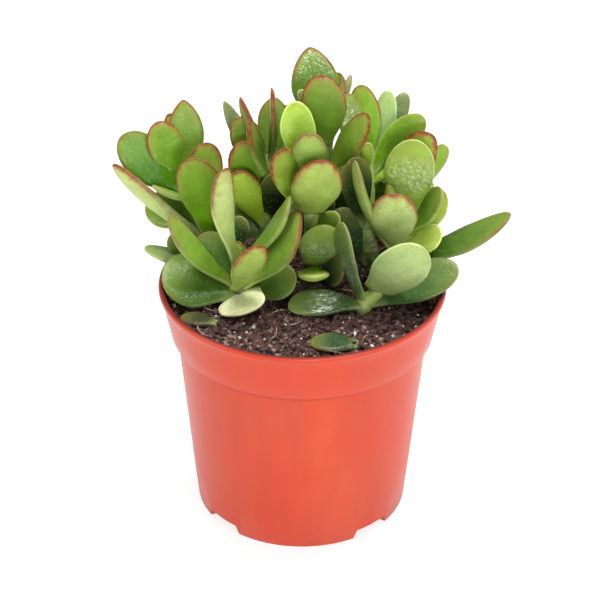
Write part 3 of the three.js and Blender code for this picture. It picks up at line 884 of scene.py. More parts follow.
@dataclass
class SoilBed:
    """The peat that fills the pot, with crumbs, fibres and perlite on it."""

    top_radius: float = 55.75
    rings: int = 70
    spokes: int = 256
    lumps: float = 1.3
    crumbs: int = 1500
    fibres: int = 80
    perlite: int = 110
    bark: int = 150
    loose_radius: float = 54.5  # loose grains lie within this radius
    # perlite grains that can be picked out one by one: x, y and size in mm
    seen_perlite: tuple = ()
    seed: int = 11

    def relief(self, x: float, y: float) -> float:
        """Height of the crumbly surface.

        Args:
            x: place along X, in mm.
            y: place along Y, in mm.

        Returns:
            The height in mm.
        """
        coarse = noise.noise(Vector((x * 0.13, y * 0.13, 3.1)))
        lump = noise.noise(Vector((x * 0.33, y * 0.33, 7.7)))
        crumb = noise.noise(Vector((x * 0.8, y * 0.8, 1.3)))
        grain = noise.noise(Vector((x * 1.7, y * 1.7, 9.2)))
        return soil_height(x, y) + self.lumps * (0.9 * coarse + 0.75 * lump + 0.5 * crumb + 0.28 * grain)

    def surface(self) -> bpy.types.Object:
        """Model the fill: floor and side ring by ring, then its crumbly top from wall to middle.

        Returns:
            The bed of soil.
        """
        turn = 2 * math.pi / self.spokes
        side = ((2.4, 40.0), (6.4, 42.8), (30, 46.0), (60, 48.85), (80.5, 50.8), (83.6, 53.1), (94.0, 55.3))
        rings = []
        for z, r in side:
            rings.append([
                Vector((r * math.cos(i * turn), r * math.sin(i * turn), z)) * MM
                for i in range(self.spokes)
            ])
        for k in range(self.rings):
            r = self.top_radius * (1 - k / self.rings)
            ring = []
            for i in range(self.spokes):
                x, y = r * math.cos(i * turn), r * math.sin(i * turn)
                ring.append(Vector((x, y, self.relief(x, y))) * MM)
            rings.append(ring)
        return model_by_rings("soil_bed", rings)

    def scatter(
        self,
        name: str,
        master: bpy.types.Object,
        spots: list[tuple[float, float, float, float]],
        rng: random.Random,
    ) -> bpy.types.Object:
        """Lay copies of a master grain on the soil.

        Args:
            name: name of the joined piece.
            master: the grain that is copied, modelled about the origin with a size of 1 mm.
            spots: x, y and size in mm, and how far it is sunk, as a share of its size.
            rng: source of the turns and stretches.

        Returns:
            One object that holds all copies.
        """
        source = [v.co.copy() for v in master.data.vertices]
        faces = [tuple(p.vertices) for p in master.data.polygons]
        verts, polys = [], []
        for x, y, size, sunk in spots:
            spin = Matrix.Rotation(rng.uniform(0, 6.28), 3, "Z")
            turn = spin @ Matrix.Rotation(rng.uniform(0, 6.28), 3, "X")
            stretch = Vector((rng.uniform(0.7, 1.4), rng.uniform(0.7, 1.2), rng.uniform(0.6, 1.0)))
            place = Vector((x, y, self.relief(x, y) + size * (0.35 - sunk))) * MM
            start = len(verts)
            for co in source:
                shaped = Vector((co.x * stretch.x, co.y * stretch.y, co.z * stretch.z))
                verts.append(turn @ shaped * size + place)
            polys.extend(tuple(start + i for i in face) for face in faces)
        mesh = bpy.data.meshes.new(name)
        mesh.from_pydata(verts, [], polys)
        obj = bpy.data.objects.new(name, mesh)
        bpy.context.scene.collection.objects.link(obj)
        bpy.data.objects.remove(master)
        return obj

    def grain_master(self, detail: int, rough: float, seed: float) -> bpy.types.Object:
        """Model one rough grain, 1 mm wide: a ball pushed in and out.

        Args:
            detail: how finely the ball is divided.
            rough: how far it is pushed, as a share of its radius.
            seed: which rough shape it gets.

        Returns:
            The grain.
        """
        deselect_all()
        bpy.ops.mesh.primitive_ico_sphere_add(subdivisions=detail, radius=0.5 * MM)
        grain = bpy.context.object
        bpy.ops.object.mode_set(mode="EDIT")
        shape = bmesh.from_edit_mesh(grain.data)
        for vert in shape.verts:
            way = vert.co.normalized()
            vert.co = vert.co * (1 + rough * noise.noise(way * 1.9 + Vector((seed, 0, 0))))
        bmesh.update_edit_mesh(grain.data)
        bpy.ops.object.mode_set(mode="OBJECT")
        return grain

    def fibre_master(self) -> bpy.types.Object:
        """Model one fibre, 1 mm long and thin, with a bow in it.

        Returns:
            The fibre.
        """
        rings = []
        for step in range(6):
            t = step / 5
            width = 0.03 * (1 - 0.7 * abs(2 * t - 1) ** 3)
            middle = Vector((t - 0.5, 0.16 * math.sin(math.pi * t), 0))
            rings.append([
                (middle + Vector((0, math.cos(a), math.sin(a))) * width) * MM
                for a in (0.0, 1.57, 3.14, 4.71)
            ])
        return model_by_rings("fibre_master", rings)

    def spots(self, count: int, low: float, high: float, sunk: float, rng: random.Random) -> list:
        """Pick places and sizes for loose grains, evenly over the soil.

        Args:
            count: how many.
            low: smallest size in mm.
            high: largest size in mm.
            sunk: how far each is sunk, as a share of its size.
            rng: source of the places and sizes.

        Returns:
            x, y, size and how far it is sunk, for each grain.
        """
        found = []
        while len(found) < count:
            r, a = self.loose_radius * math.sqrt(rng.random()), rng.uniform(0, 2 * math.pi)
            size = low + (high - low) * rng.random() ** 2.2
            found.append((r * math.cos(a), r * math.sin(a), size, sunk))
        return found

    def build(self) -> None:
        """Model the soil and what lies loose in it, and dress all of it."""
        rng = random.Random(self.seed)
        bed = self.surface()
        make_active(bed)
        bpy.ops.object.shade_smooth()
        settle(bed, "soil", PeatSubstrate().build())
        crumb_a = self.scatter(
            "peat_crumbs", self.grain_master(1, 0.9, 2.0), self.spots(self.crumbs, 0.7, 3.2, 0.15, rng), rng
        )
        settle(crumb_a, None, LooseGrain("peat_crumb", "#5E453D", "#2A1C1A", 0.8).build())
        bark = self.scatter(
            "bark_crumbs", self.grain_master(2, 1.1, 5.0), self.spots(self.bark, 1.2, 3.8, 0.2, rng), rng
        )
        settle(bark, None, LooseGrain("composted_bark", "#6E5248", "#3A2824", 1.2).build())
        grains = self.spots(self.perlite, 0.6, 1.7, 0.0, rng)
        grains += [(x, y, size, 0.0) for x, y, size in self.seen_perlite]
        white = self.scatter("perlite_grains", self.grain_master(2, 0.8, 8.0), grains, rng)
        settle(white, None, LooseGrain("expanded_perlite", "#F2EFE8", "#C9C2B6", 0.6).build())
        fibre = self.fibre_master()
        places = [(x, y, 3 + 2.2 * s, 0.0) for x, y, s, _ in self.spots(self.fibres, 0.2, 4.0, 0, rng)]
        strands = self.scatter("peat_fibres", fibre, places, rng)
        settle(strands, None, LooseGrain("peat_fibre", "#B29A86", "#6A5044", 1.0).build())


# ---------------------------------------------------------------------------------------------
# leaves and stems
# ---------------------------------------------------------------------------------------------
@dataclass(frozen=True)
class LeafPlan:
    """Where one leaf is and how it is shaped, in mm: the same numbers as in the solid, and its colour."""

    root: tuple
    tip: tuple
    face: tuple
    width: float
    thick: float
    sag: float
    tone: Tone
    blush: float
    waist: float = 0.32
    widest: float = 0.6
    point: float = 0.0
    shine: float = 0.0
    glint: float = 1.0


def leaf(
    root: tuple, tip: tuple, face: tuple, width: float, thick: float, sag: float, tone: Tone, blush: float,
    waist: float = 0.32, widest: float = 0.6, point: float = 0.0, shine: float = 0.0,
    glint: float = 1.0,
) -> LeafPlan:
    """Write one leaf as a row, in mm.

    Args:
        root: where the leaf starts, sunk in its stem.
        tip: where it ends.
        face: the way its upper face looks.
        width: greatest width.
        thick: greatest thickness.
        sag: how far the middle hangs below the line from root to tip.
        tone: green of the upper face.
        blush: how red the margin is.
        waist: width at the root, as a share of the greatest width.
        widest: where along the leaf it is widest, 0 to 1.
        point: how pointed the tip is, 0 for round.
        shine: where along the leaf a glossy patch lies, or 0 for none.
        glint: how strong that patch is.

    Returns:
        The leaf's plan.
    """
    return LeafPlan(root, tip, face, width, thick, sag, tone, blush, waist, widest, point, shine, glint)


@dataclass
class LeafBlank:
    """A leaf blank that is modelled once, and copied and shaped for every leaf.

    The blank is a round bar along X: x runs from 0 at the root to 1 at the tip, and y and z are the
    place in the leaf's section.
    """

    stations: int = 30
    around: int = 20
    points: list = field(default_factory=list)
    faces: list = field(default_factory=list)

    def build(self) -> None:
        """Extrude the bar ring by ring, closer together towards the tip, and close its ends."""
        rings = []
        for k in range(self.stations + 1):
            t = 1 - (1 - k / self.stations) ** 1.75
            rings.append([
                Vector((t, math.cos(2 * math.pi * i / self.around), math.sin(2 * math.pi * i / self.around)))
                for i in range(self.around)
            ])
        rings[-1] = [Vector((0.9995, p.y * 0.5, p.z * 0.5)) for p in rings[-1]]
        bar = model_by_rings("leaf_blank", rings)
        make_active(bar)
        bpy.ops.object.mode_set(mode="EDIT")
        bpy.ops.mesh.select_mode(type="FACE")
        bpy.ops.mesh.select_all(action="DESELECT")
        shape = bmesh.from_edit_mesh(bar.data)
        for face in shape.faces:
            face.select_set(len(face.verts) > 4)
        bmesh.update_edit_mesh(bar.data)
        bpy.ops.mesh.poke()
        bpy.ops.object.mode_set(mode="OBJECT")
        self.points = [tuple(v.co) for v in bar.data.vertices]
        self.faces = [tuple(p.vertices) for p in bar.data.polygons]
        bpy.data.objects.remove(bar)


def width_at(t: float, plan: LeafPlan) -> float:
    """Width of a leaf at a point of its length, root to tip.

    Args:
        t: the point, 0 to 1.
        plan: the leaf.

    Returns:
        The width, as a share of the greatest.
    """
    if t < plan.widest:
        u = t / plan.widest
        return plan.waist + (1 - plan.waist) * u * u * (3 - 2 * u)
    u = (t - plan.widest) / (1 - plan.widest)
    return max(0.0, 1 - u ** (2.2 - 0.5 * plan.point)) ** (0.5 + 0.2 * plan.point)


def thickness_at(t: float) -> float:
    """Thickness of a leaf at a point of its length, root to tip.

    Args:
        t: the point, 0 to 1.

    Returns:
        The thickness, as a share of the greatest.
    """
    if t < 0.5:
        return 0.85 + 0.3 * t
    return 0.85 * math.sqrt(max(0.0, 1 - ((t - 0.5) / 0.5) ** 2.6)) + 0.3 * (1 - t)


class LeafCluster:
    """Many leaves made as copies of one blank, joined in one mesh with their colour attributes."""

    def __init__(self, name: str, blank: LeafBlank, seed: int) -> None:
        """Start an empty cluster.

        Args:
            name: name of the joined mesh.
            blank: the leaf that is copied.
            seed: start of its random draws.
        """
        self.name, self.blank = name, blank
        self.rng = random.Random(seed)
        self.verts: list = []
        self.polys: list = []
        self.data: dict[str, list] = {
            "green": [], "blush": [], "margin": [], "along": [], "under": [], "shine": [],
        }

    def add(self, plan: LeafPlan) -> None:
        """Shape one copy of the blank into the planned leaf.

        Args:
            plan: the leaf's place, form and colour.
        """
        root, tip = Vector(plan.root), Vector(plan.tip)
        span = tip - root
        length = span.length
        along = span.normalized()
        up = Vector(plan.face)
        up = (up - along * up.dot(along)).normalized()
        rng = self.rng
        sway, twist = rng.uniform(-0.03, 0.03) * length, math.radians(rng.uniform(-6, 6))
        cup = rng.uniform(0.02, 0.05) * plan.width
        ripple, phase = rng.uniform(0.10, 0.28), rng.uniform(0, 50)
        shade = rng.uniform(0.92, 1.08)
        green = [min(1.0, c * shade) for c in linear(plan.tone.value)[:3]] + [1.0]
        start = len(self.verts)
        for x, y, z in self.blank.points:
            t = min(x, 0.99999)
            w, h = width_at(t, plan), thickness_at(t)
            slope = -4 * plan.sag * (1 - 2 * t) / length
            turn = Matrix.Rotation(twist * (t - 0.4), 3, along)
            local_up = turn @ up
            heading = (along + local_up * slope).normalized()
            normal = (local_up - heading * local_up.dot(heading)).normalized()
            side = heading.cross(normal)
            across = y
            lift = (0.86 if z > 0 else 1.04) * math.copysign(abs(z) ** (0.82 if z > 0 else 0.95), z)
            middle = root + along * (length * t) - local_up * (4 * plan.sag * t * (1 - t))
            middle += side * (sway * 4 * t * (1 - t) * smooth(t, 0.0, 0.3))
            half = plan.width / 2 * w
            bend = cup * w * (across * across - 0.45) * smooth(t, 0.1, 0.5)
            wave = ripple * noise.noise(Vector((t * length * 0.16, across * half * 0.2, phase)))
            uneven = 1 + 0.05 * noise.noise(Vector((t * 3.1, phase, y * 0.5)))
            spot = middle + side * (across * half * uneven)
            spot += normal * (lift * plan.thick / 2 * h + bend + wave)
            self.verts.append(spot * MM)
            inward = min(half * (1 - abs(across)), length * (1 - t))
            self.data["margin"].append(1 - smooth(inward, 0.0, 2.8))
            self.data["along"].append(t)
            self.data["under"].append(smooth(-z, -0.1, 0.5))
            patch = math.exp(-(((t - plan.shine) / 0.2) ** 2)) * (1 - abs(across) ** 3) if plan.shine else 0.0
            self.data["shine"].append(patch * plan.glint)
            self.data["green"].append(green)
            self.data["blush"].append(plan.blush * mix_value(0.12, 1.0, smooth(t, 0.35, 0.9)))
        self.polys.extend(tuple(start + i for i in face) for face in self.blank.faces)

    def finish(self) -> bpy.types.Object:
        """Make the mesh with its attributes.

        Returns:
            The object that holds all the leaves.
        """
        mesh = bpy.data.meshes.new(self.name)
        mesh.from_pydata(self.verts, [], self.polys)
        for key, values in self.data.items():
            if key == "green":
                layer = mesh.attributes.new(key, "FLOAT_COLOR", "POINT")
                layer.data.foreach_set("color", [c for value in values for c in value])
            else:
                layer = mesh.attributes.new(key, "FLOAT", "POINT")
                layer.data.foreach_set("value", values)
        obj = bpy.data.objects.new(self.name, mesh)
        bpy.context.scene.collection.objects.link(obj)
        make_active(obj)
        bpy.ops.object.mode_set(mode="EDIT")
        bpy.ops.mesh.select_all(action="SELECT")
        bpy.ops.mesh.normals_make_consistent(inside=False)
        bpy.ops.object.mode_set(mode="OBJECT")
        bpy.ops.object.shade_smooth()
        return obj


@dataclass
class LeafyStem:
    """One stem with its leaves: a tapering green and woody cane with a ring at each pair of leaves."""

    name: str
    path: tuple
    radius: tuple
    leaves: list
    sides: int = 20
    step: float = 0.9
    node_spacing: float = 8.5
    shown_from: float = 92.0  # height at which its colours start, just under the soil

    def centre_line(self) -> list[tuple[Vector, float]]:
        """Follow the path in a smooth curve, in steps of about a millimetre.

        Returns:
            Points of the centre line, each with its radius, in mm.
        """
        points = [Vector(p) for p in self.path]
        line = []
        for i in range(len(points) - 1):
            a, b = points[max(0, i - 1)], points[i]
            c, d = points[i + 1], points[min(len(points) - 1, i + 2)]
            steps = max(2, round((c - b).length / self.step))
            for k in range(steps):
                t = k / steps
                # a smooth curve through the points b and c, steered by a and d
                spot = 0.5 * (
                    2 * b + (c - a) * t + (2 * a - 5 * b + 4 * c - d) * t * t + (3 * b - a - 3 * c + d) * t**3
                )
                line.append((spot, mix_value(self.radius[i], self.radius[i + 1], t)))
        line.append((points[-1], self.radius[-1]))
        return line

    def cane(self, seed: int) -> bpy.types.Object:
        """Extrude the cane ring by ring along its line, thicker at each node, and round its end.

        Args:
            seed: shifts the nodes and the roughness, so that no two canes are alike.

        Returns:
            The cane.
        """
        line = self.centre_line()
        rings, heights, marks = [], [], []
        travelled = 0.0
        top = self.path[-1][2]
        for i, (spot, r) in enumerate(line):
            before, after = line[max(0, i - 1)][0], line[min(len(line) - 1, i + 1)][0]
            if i:
                travelled += (spot - line[i - 1][0]).length
            way = (after - before).normalized()
            x_axis = Vector((0, 1, 0.13)).cross(way).normalized()
            y_axis = way.cross(x_axis)
            beat = (travelled + seed * 2.3) % self.node_spacing / self.node_spacing
            near = 1 - smooth(abs(beat - 0.5) * self.node_spacing, 0.0, 1.3)
            ring = []
            for k in range(self.sides):
                a = 2 * math.pi * k / self.sides
                out = x_axis * math.cos(a) + y_axis * math.sin(a)
                rough = 1 + 0.09 * noise.noise(spot * 0.35 + out * 1.1 + Vector((seed, 0, 0))) + 0.05 * near
                ring.append((spot + out * (r * 0.97 * rough)) * MM)
            rings.append(ring)
            heights.append((spot.z - self.shown_from) / max(10.0, top - self.shown_from))
            marks.append(near)
        spot, r = line[-1]
        way = (line[-1][0] - line[-2][0]).normalized()
        centre = spot * MM
        for shrink, push in ((0.8, 0.45), (0.45, 0.8)):
            rings.append([
                centre + (p - centre) * shrink + way * (r * push * MM) for p in rings[len(line) - 1]
            ])
            heights.append(1.0)
            marks.append(0.0)
        obj = model_by_rings("cane_" + self.name, rings)
        height = obj.data.attributes.new("along", "FLOAT", "POINT")
        ring_mark = obj.data.attributes.new("ring", "FLOAT", "POINT")
        for i in range(len(obj.data.vertices)):
            k = min(i // self.sides, len(heights) - 1)
            height.data[i].value = heights[k]
            ring_mark.data[i].value = marks[k]
        make_active(obj)
        bpy.ops.object.shade_smooth()
        return obj

    def build(
        self, blank: LeafBlank, skin: bpy.types.Material, bark: bpy.types.Material, seed: int
    ) -> None:
        """Model the cane and the leaves and dress them.

        Args:
            blank: the leaf that is copied.
            skin: finish of the leaves.
            bark: finish of the cane.
            seed: start of this stem's random draws.
        """
        cluster = LeafCluster("leaves_" + self.name, blank, seed)
        for plan in self.leaves:
            cluster.add(plan)
        settle(cluster.finish(), self.name, skin)
        settle(self.cane(seed), self.name, bark)


# perlite grains that show one by one between the leaves: x, y and size in mm
SEEN_PERLITE = (
    (-5.2, -12.0, 1.4), (5.9, -29.2, 1.5), (36.9, -29.6, 1.6), (47.8, -13.4, 1.2), (19.2, -16.3, 1.1),
    (-25.5, -31.9, 1.6), (-19.9, -24.3, 1.4), (25.7, -36.3, 1.0), (42.7, -25.8, 1.1), (-24.1, -20.4, 1.2),
)

# the stems, each from its buried end up, with their leaves: places and sizes as in the solids
STEMS = [
    LeafyStem(
        name="stem_front_left",
        path=((-24, -5, 80), (-24, -5, 98), (-26, -4, 103), (-27, -3, 118), (-28, -3, 124)),
        radius=(3.6, 3.6, 3.4, 2.6, 1.6),
        leaves=[
            leaf((-27, -4, 104), (-54.6, -8, 139.8), (3, -6, 10), 11, 4.5, 3, Tone.MID, 0.3, 0.32, 0.6, 0.3),
            leaf(
                (-25, -4, 105), (-0.9, -8, 141.5), (-5, -5, 10), 19, 4.5, 3.5,
                Tone.MID, 0.6, 0.32, 0.6, 0.8,
            ),
            leaf((-28.2, -6, 105), (-17.3, -22, 134.4), (-2, 9, 8), 14, 4, 1.5, Tone.FRESH, 1),
            leaf((-25, -5, 102), (-25, -21.5, 101.7), (-3.2, 0, 9.5), 20.5, 4, 1, Tone.CREAM, 0.2, 0.8, 0.45),
            leaf((-27, -4, 101.5), (-58, -1.5, 110.5), (0, -5, 10), 26, 4.5, 1, Tone.DEEP, 0.1),
            leaf((-24, -4, 100), (-3, 0, 109), (-4, -7, 8), 17, 4.5, 1.5, Tone.DEEP, 0.1),
            leaf((-28, -4, 117), (-31.6, -12, 164), (-5, 7, 3), 11, 4.5, -3, Tone.PALE, 0.7, 0.32, 0.6, -0.5),
            leaf((-26, -2, 115), (-5.4, -6, 148), (-6, -3, 10), 11, 4.5, 4, Tone.MID, 0.2, 0.32, 0.6, 0.8),
            leaf((-27, -2, 120), (-26, 3, 134), (-4, -9, 4), 9, 3.5, 1, Tone.NIGHT, 0.1),
            leaf((-27, -4, 121), (-26, -4, 126), (-4, -9, 4), 4, 2, 0, Tone.LIME, 0.5),
            leaf((-26, -3, 104), (-16, 14, 104), (-3, -3, 10), 14, 4.5, 2, Tone.DEEP, 0.1),
            leaf((-27, -2, 114), (-28, 12, 117), (1, -3, 10), 9, 4, 1, Tone.DEEP, 0.1),
            leaf((-26, -3, 105), (-42, 3, 125), (0, -8, 6), 16, 4, 2, Tone.DEEP, 0.2),
        ],
    ),
    LeafyStem(
        name="stem_left",
        path=((-37, 20, 80), (-37, 20, 98), (-38, 18, 113), (-44, 19, 128), (-47, 20, 138)),
        radius=(4.2, 4.2, 3.8, 3.2, 2.2),
        leaves=[
            leaf((-38, 17, 114), (-46.1, 6, 158.8), (0, -10, 2), 19, 5, 1.5, Tone.GRASS, 0.6),
            leaf((-40, 18, 114), (-78, 14, 152), (1, 9, 7), 10, 4.5, 2, Tone.PALE, 0.8, 0.32, 0.6, -0.3),
            leaf((-47, 19, 135), (-75.5, 22, 160.2), (5, -10, 3), 19, 4.8, 2, Tone.MOSS, 0.3),
            leaf((-46, 19, 133), (-62, 12, 143), (0, 2, 10), 8, 3.5, 1, Tone.MID, 0.2),
            leaf((-47, 21, 136), (-61, 26, 165), (3, -9, 3), 16, 4.8, 2, Tone.GRASS, 0.8),
            leaf((-46, 21, 138), (-49.8, 34, 171.6), (2, -9, 3), 15.5, 4.8, 2, Tone.MID, 0.5, 0.32, 0.6, 1),
            leaf((-47, 22, 138), (-56, 38, 163.2), (0, -9, 4), 10.5, 4, 1.5, Tone.FRESH, 0.9),
            leaf((-41, 18, 124), (-40, 18, 160), (2, -9, 4), 16, 4.6, 1.5, Tone.FRESH, 0.9),
            leaf((-43, 20, 124), (-66, 20, 129.3), (0, -9, 5), 16, 4.5, 1.5, Tone.MID, 0.1),
            leaf((-37, 18, 103), (-56.5, 14, 116.8), (1, -8, 6), 13, 4.5, 1, Tone.DEEP, 0.1),
            leaf((-37, 19, 102), (-66, 6, 116.4), (1, -3, 10), 9, 4, 1.5, Tone.GREY, 0.1),
            leaf((-38, 20, 107), (-33, 43, 126), (-1, -8, 8), 15, 4.5, 2, Tone.MID, 0.3),
            leaf((-44, 20, 127), (-41, 47, 141), (-1, -3, 10), 14, 4.5, 2, Tone.MID, 0.4),
            leaf((-38, 19, 109), (-54, 38, 120), (3, -3, 10), 14, 4.5, 2, Tone.DEEP, 0.2),
            leaf((-46, 20, 134), (-52, 46, 150), (1, -5, 10), 14, 4.5, 2, Tone.MID, 0.4),
            leaf((-43, 20, 124), (-61, 39, 144), (2, -4, 10), 14, 4.5, 2, Tone.MID, 0.3),
        ],
    ),
    LeafyStem(
        name="stem_centre_left",
        path=((-15, 24, 80), (-15, 24, 98), (-15, 23, 116), (-15, 24, 135), (-14, 25, 150)),
        radius=(4, 4, 3.6, 3.2, 2),
        leaves=[
            leaf((-16, 22, 119), (-27.8, 14, 148.9), (-1, -10, 5), 14, 5, 1.5, Tone.LIME, 0.9),
            leaf((-16, 23, 128), (-26.2, 18, 160.2), (1, -10, 3), 15, 5, 1.5, Tone.GRASS, 0.9),
            leaf((-16, 25, 139), (-27.8, 26, 167.5), (3, -9, 2), 14, 4.5, 1.5, Tone.MID, 0.5, 0.32, 0.6, 0.4),
            leaf((-15, 26, 143), (-33, 36, 170), (6, -5, 6), 9, 4, 2, Tone.STONE, 0.2, 0.32, 0.6, 0.8),
            leaf((-14, 26, 148), (-26, 30, 175), (8, 5, 4), 9, 4, 1.5, Tone.DEEP, 0.8, 0.32, 0.6, 0.8),
            leaf((-14, 23, 139), (-22, 12, 174), (9, -4, 3), 8, 4.5, 1.5, Tone.MID, 0.9, 0.32, 0.6, 0.6),
            leaf((-14, 25, 147), (-13, 18, 185), (-9, -1, 1), 11, 3.6, 1, Tone.DEEP, 1, 0.32, 0.6, 0.8),
            leaf((-14, 26, 148), (-12, 36, 172), (0, -10, 2), 13, 4.2, 1, Tone.MID, 0.4, 0.32, 0.6, 0.5),
            leaf((-16, 22, 112), (-28, 24, 128), (2, -8, 6), 14, 4.5, 2, Tone.DEEP, 0.1),
            leaf((-14, 24, 112), (-4, 30, 129), (-3, -8, 5), 14, 4.5, 2, Tone.DEEP, 0.1),
            leaf((-15, 25, 127), (-11, 46, 148), (-1, -6, 8), 14, 4.5, 2, Tone.MID, 0.3),
            leaf((-15, 25, 108), (-21, 49, 126), (1, -3, 10), 15, 4.5, 2, Tone.DEEP, 0.3),
            leaf((-15, 25, 136), (-22, 47, 153), (1, -6, 8), 14, 4.5, 2, Tone.MID, 0.4),
            leaf((-14, 25, 146), (-7, 43, 165), (-1, -8, 6), 12, 4.5, 1.5, Tone.MID, 0.5),
            leaf((-14.5, 22, 120), (-10, 17, 147), (1, -10, 3), 13, 4.2, 1, Tone.NIGHT, 0.1),
        ],
    ),
    LeafyStem(
        name="stem_back",
        path=((10, 32, 80), (10, 32, 98), (10, 30, 119), (10, 29, 142), (9, 28, 164)),
        radius=(4.2, 4.2, 3.8, 3.2, 2.2),
        leaves=[
            leaf(
                (9, 29, 160), (2.2, 38, 194), (1, -10, 3), 20.3, 5, 2,
                Tone.GRASS, 0.6, 0.32, 0.52, 0.9, shine=0.74,
            ),
            leaf((8, 27, 155), (7.1, 19, 190.4), (0, -9, -5), 19, 5, -1.5, Tone.MID, 1, 0.45, 0.58),
            leaf((10, 29, 157), (14.3, 40, 181.6), (-7, -6, 3), 13, 4.5, 1.5, Tone.DEEP, 0.4),
            leaf((10, 29, 163), (19.7, 47, 177), (-7, 5, 3), 7, 3.5, 1, Tone.WILTED, 0.2),
            leaf((8, 28, 162), (-2, 24, 181), (5, -6, 6), 7, 3.5, 1, Tone.GREY, 0.1),
            leaf((10, 28, 142), (26.3, 3, 180.2), (-6, -9, 5), 13, 4, 1, Tone.FRESH, 0.9, 0.32, 0.52),
            leaf((9, 30, 140), (-1, 46, 156), (3, 8, 5), 14, 4.5, 1.5, Tone.DEEP, 0.3),
            leaf((11, 30, 138), (21, 51, 141), (-1, -6, 8), 15, 4.5, 2, Tone.MID, 0.3),
            leaf((9, 30, 115), (-1, 43, 130), (4, -8, 6), 14, 4.5, 2, Tone.DEEP, 0.1),
            leaf((11, 31, 113), (21, 45, 131), (-4, -8, 6), 14, 4.5, 2, Tone.DEEP, 0.1),
            leaf((10, 29, 150), (4, 52, 163), (-1, -6, 8), 14, 4.5, 2, Tone.MID, 0.5),
            leaf((10, 30, 125), (5, 53, 142), (0, -4, 10), 15, 4.5, 2, Tone.MID, 0.3),
        ],
    ),
    LeafyStem(
        name="stem_centre",
        path=((4, 10, 80), (4, 10, 98), (4, 8, 118), (3, 8, 137), (1, 8, 159)),
        radius=(3.8, 3.8, 3.4, 3, 2),
        leaves=[
            leaf(
                (0.4, 8.5, 153), (-4, 8, 184), (1, -10, 4), 14.5, 5, 1.5,
                Tone.LIME, 0.1, 0.5, 0.55, 0.3, shine=0.62, glint=0.4,
            ),
            leaf((1, 7, 154), (2.3, -8, 178), (0, 9, 6), 13.5, 5, 1, Tone.GRASS, 0.4, 0.45, 0.55),
            leaf((2, 8, 138), (-10.3, -1, 166), (4, -10, 3), 16, 5, 1.5, Tone.FRESH, 1, 0.7, 0.52),
            leaf((3, 7, 135), (7, -10, 167), (0, 8, 6), 20.6, 5, 2, Tone.FRESH, 1, 0.6, 0.52),
            leaf(
                (4, 8, 109), (9.5, -5, 134.5), (0, -9, -5), 18, 5, -1.5,
                Tone.MID, 0.1, 0.5, 0.55, shine=0.5, glint=1.6,
            ),
            leaf((4, 8, 127.5), (15.2, 2, 134.2), (0, -9, 5), 8, 3.5, 1, Tone.MID, 0.1),
            leaf((4.5, 8, 106.5), (4.2, -7, 111.5), (0, -3, 10), 13, 5, 1, Tone.LIME, 0.1),
            leaf((4, 9, 111), (-6, 15, 134), (1, -9, 4), 14, 4, 1.5, Tone.NIGHT, 0.1),
            leaf((5, 9, 101), (17, 3, 109), (0, -6, 8), 14, 4.2, 1, Tone.NIGHT, 0.1),
        ],
    ),
    LeafyStem(
        name="stem_right_back",
        path=((31, 13, 80), (31, 13, 98), (27.8, 15, 114), (27, 18, 133), (27, 22, 151)),
        radius=(3.6, 3.6, 3.6, 3.3, 2.4),
        leaves=[
            leaf((27, 22, 144), (23.6, 38.3, 176.8), (-1, -10, 3), 13.5, 5, 1.5, Tone.GRASS, 0.5),
            leaf((26, 20, 142), (18.3, 31, 176.3), (5, -9, 2), 12.5, 4, 1.5, Tone.MID, 0.3, shine=0.7),
            leaf(
                (29, 22, 146), (35.2, 40, 173.5), (-3, -9, 3), 10, 4.6, 1.5,
                Tone.GREY, 0.1, 0.32, 0.6, -0.3,
            ),
            leaf((28, 23, 147), (42.8, 45, 170), (-3, -9, 3), 9, 4, 1.5, Tone.STONE, 0.2, 0.32, 0.6, -0.3),
            leaf((28, 21, 143), (49, 25, 169.3), (-1, -10, 3), 14, 5, 2, Tone.GRASS, 0.2),
            leaf((28, 19, 142), (35, 22, 148), (-2, -7, 8), 8, 3.5, 1, Tone.FRESH, 0.2),
            leaf((26, 15, 123), (20.5, 5.5, 160), (3, -9, 3), 14, 4, 1.5, Tone.NIGHT, 0.2),
            leaf((26, 16, 120), (31, 39, 134), (-1, -8, 8), 15, 4.5, 2, Tone.MID, 0.3),
            leaf((27, 21, 140), (45, 45, 147), (-3, -3, 10), 14, 4.5, 2, Tone.MID, 0.4),
            leaf((27, 17, 125), (35, 24, 138), (-3, -8, 5), 14, 4.5, 1.5, Tone.DEEP, 0.1),
            leaf((27, 20, 134), (28, 48, 130), (0, 3, 10), 14, 4.5, -1.5, Tone.MID, 0.3),
            leaf((28, 13, 106), (14, 13, 132), (0, -9, 4), 14, 4.2, 1, Tone.NIGHT, 0.1),
            leaf((27, 21, 146), (26.4, 14.5, 162.1), (0, -9, 4), 6, 3, 0.5, Tone.FRESH, 0.2),
        ],
    ),
    LeafyStem(
        name="stem_right",
        path=((41, 20, 80), (41, 20, 98), (40, 18.5, 111), (41, 18, 123), (43, 19, 131)),
        radius=(3.8, 3.8, 3.6, 3, 2),
        leaves=[
            leaf(
                (43, 18, 125), (45, 10, 166), (0, -10, 4), 21, 5, 1.5,
                Tone.FRESH, 0.1, 0.4, 0.55, shine=0.55, glint=1.8,
            ),
            leaf(
                (42, 19, 125), (50, 15.5, 166.9), (0, -9, 4), 16, 4.6, 1.5,
                Tone.FRESH, 1.5, 0.32, 0.6, -0.5,
            ),
            leaf((43, 20, 131), (59.5, 30, 153.2), (-5, -8, 4), 8.5, 4, 1, Tone.MID, 0.2, 0.32, 0.72, -0.3),
            leaf((39, 17, 113), (36.7, 0, 146.5), (0, 8, 5), 20, 5, 2, Tone.PALE, 0.8, 0.35, 0.6),
            leaf((41, 17, 118), (57, 12, 142), (-6, -4, 6), 13, 4.5, 2.5, Tone.MID, 0.2),
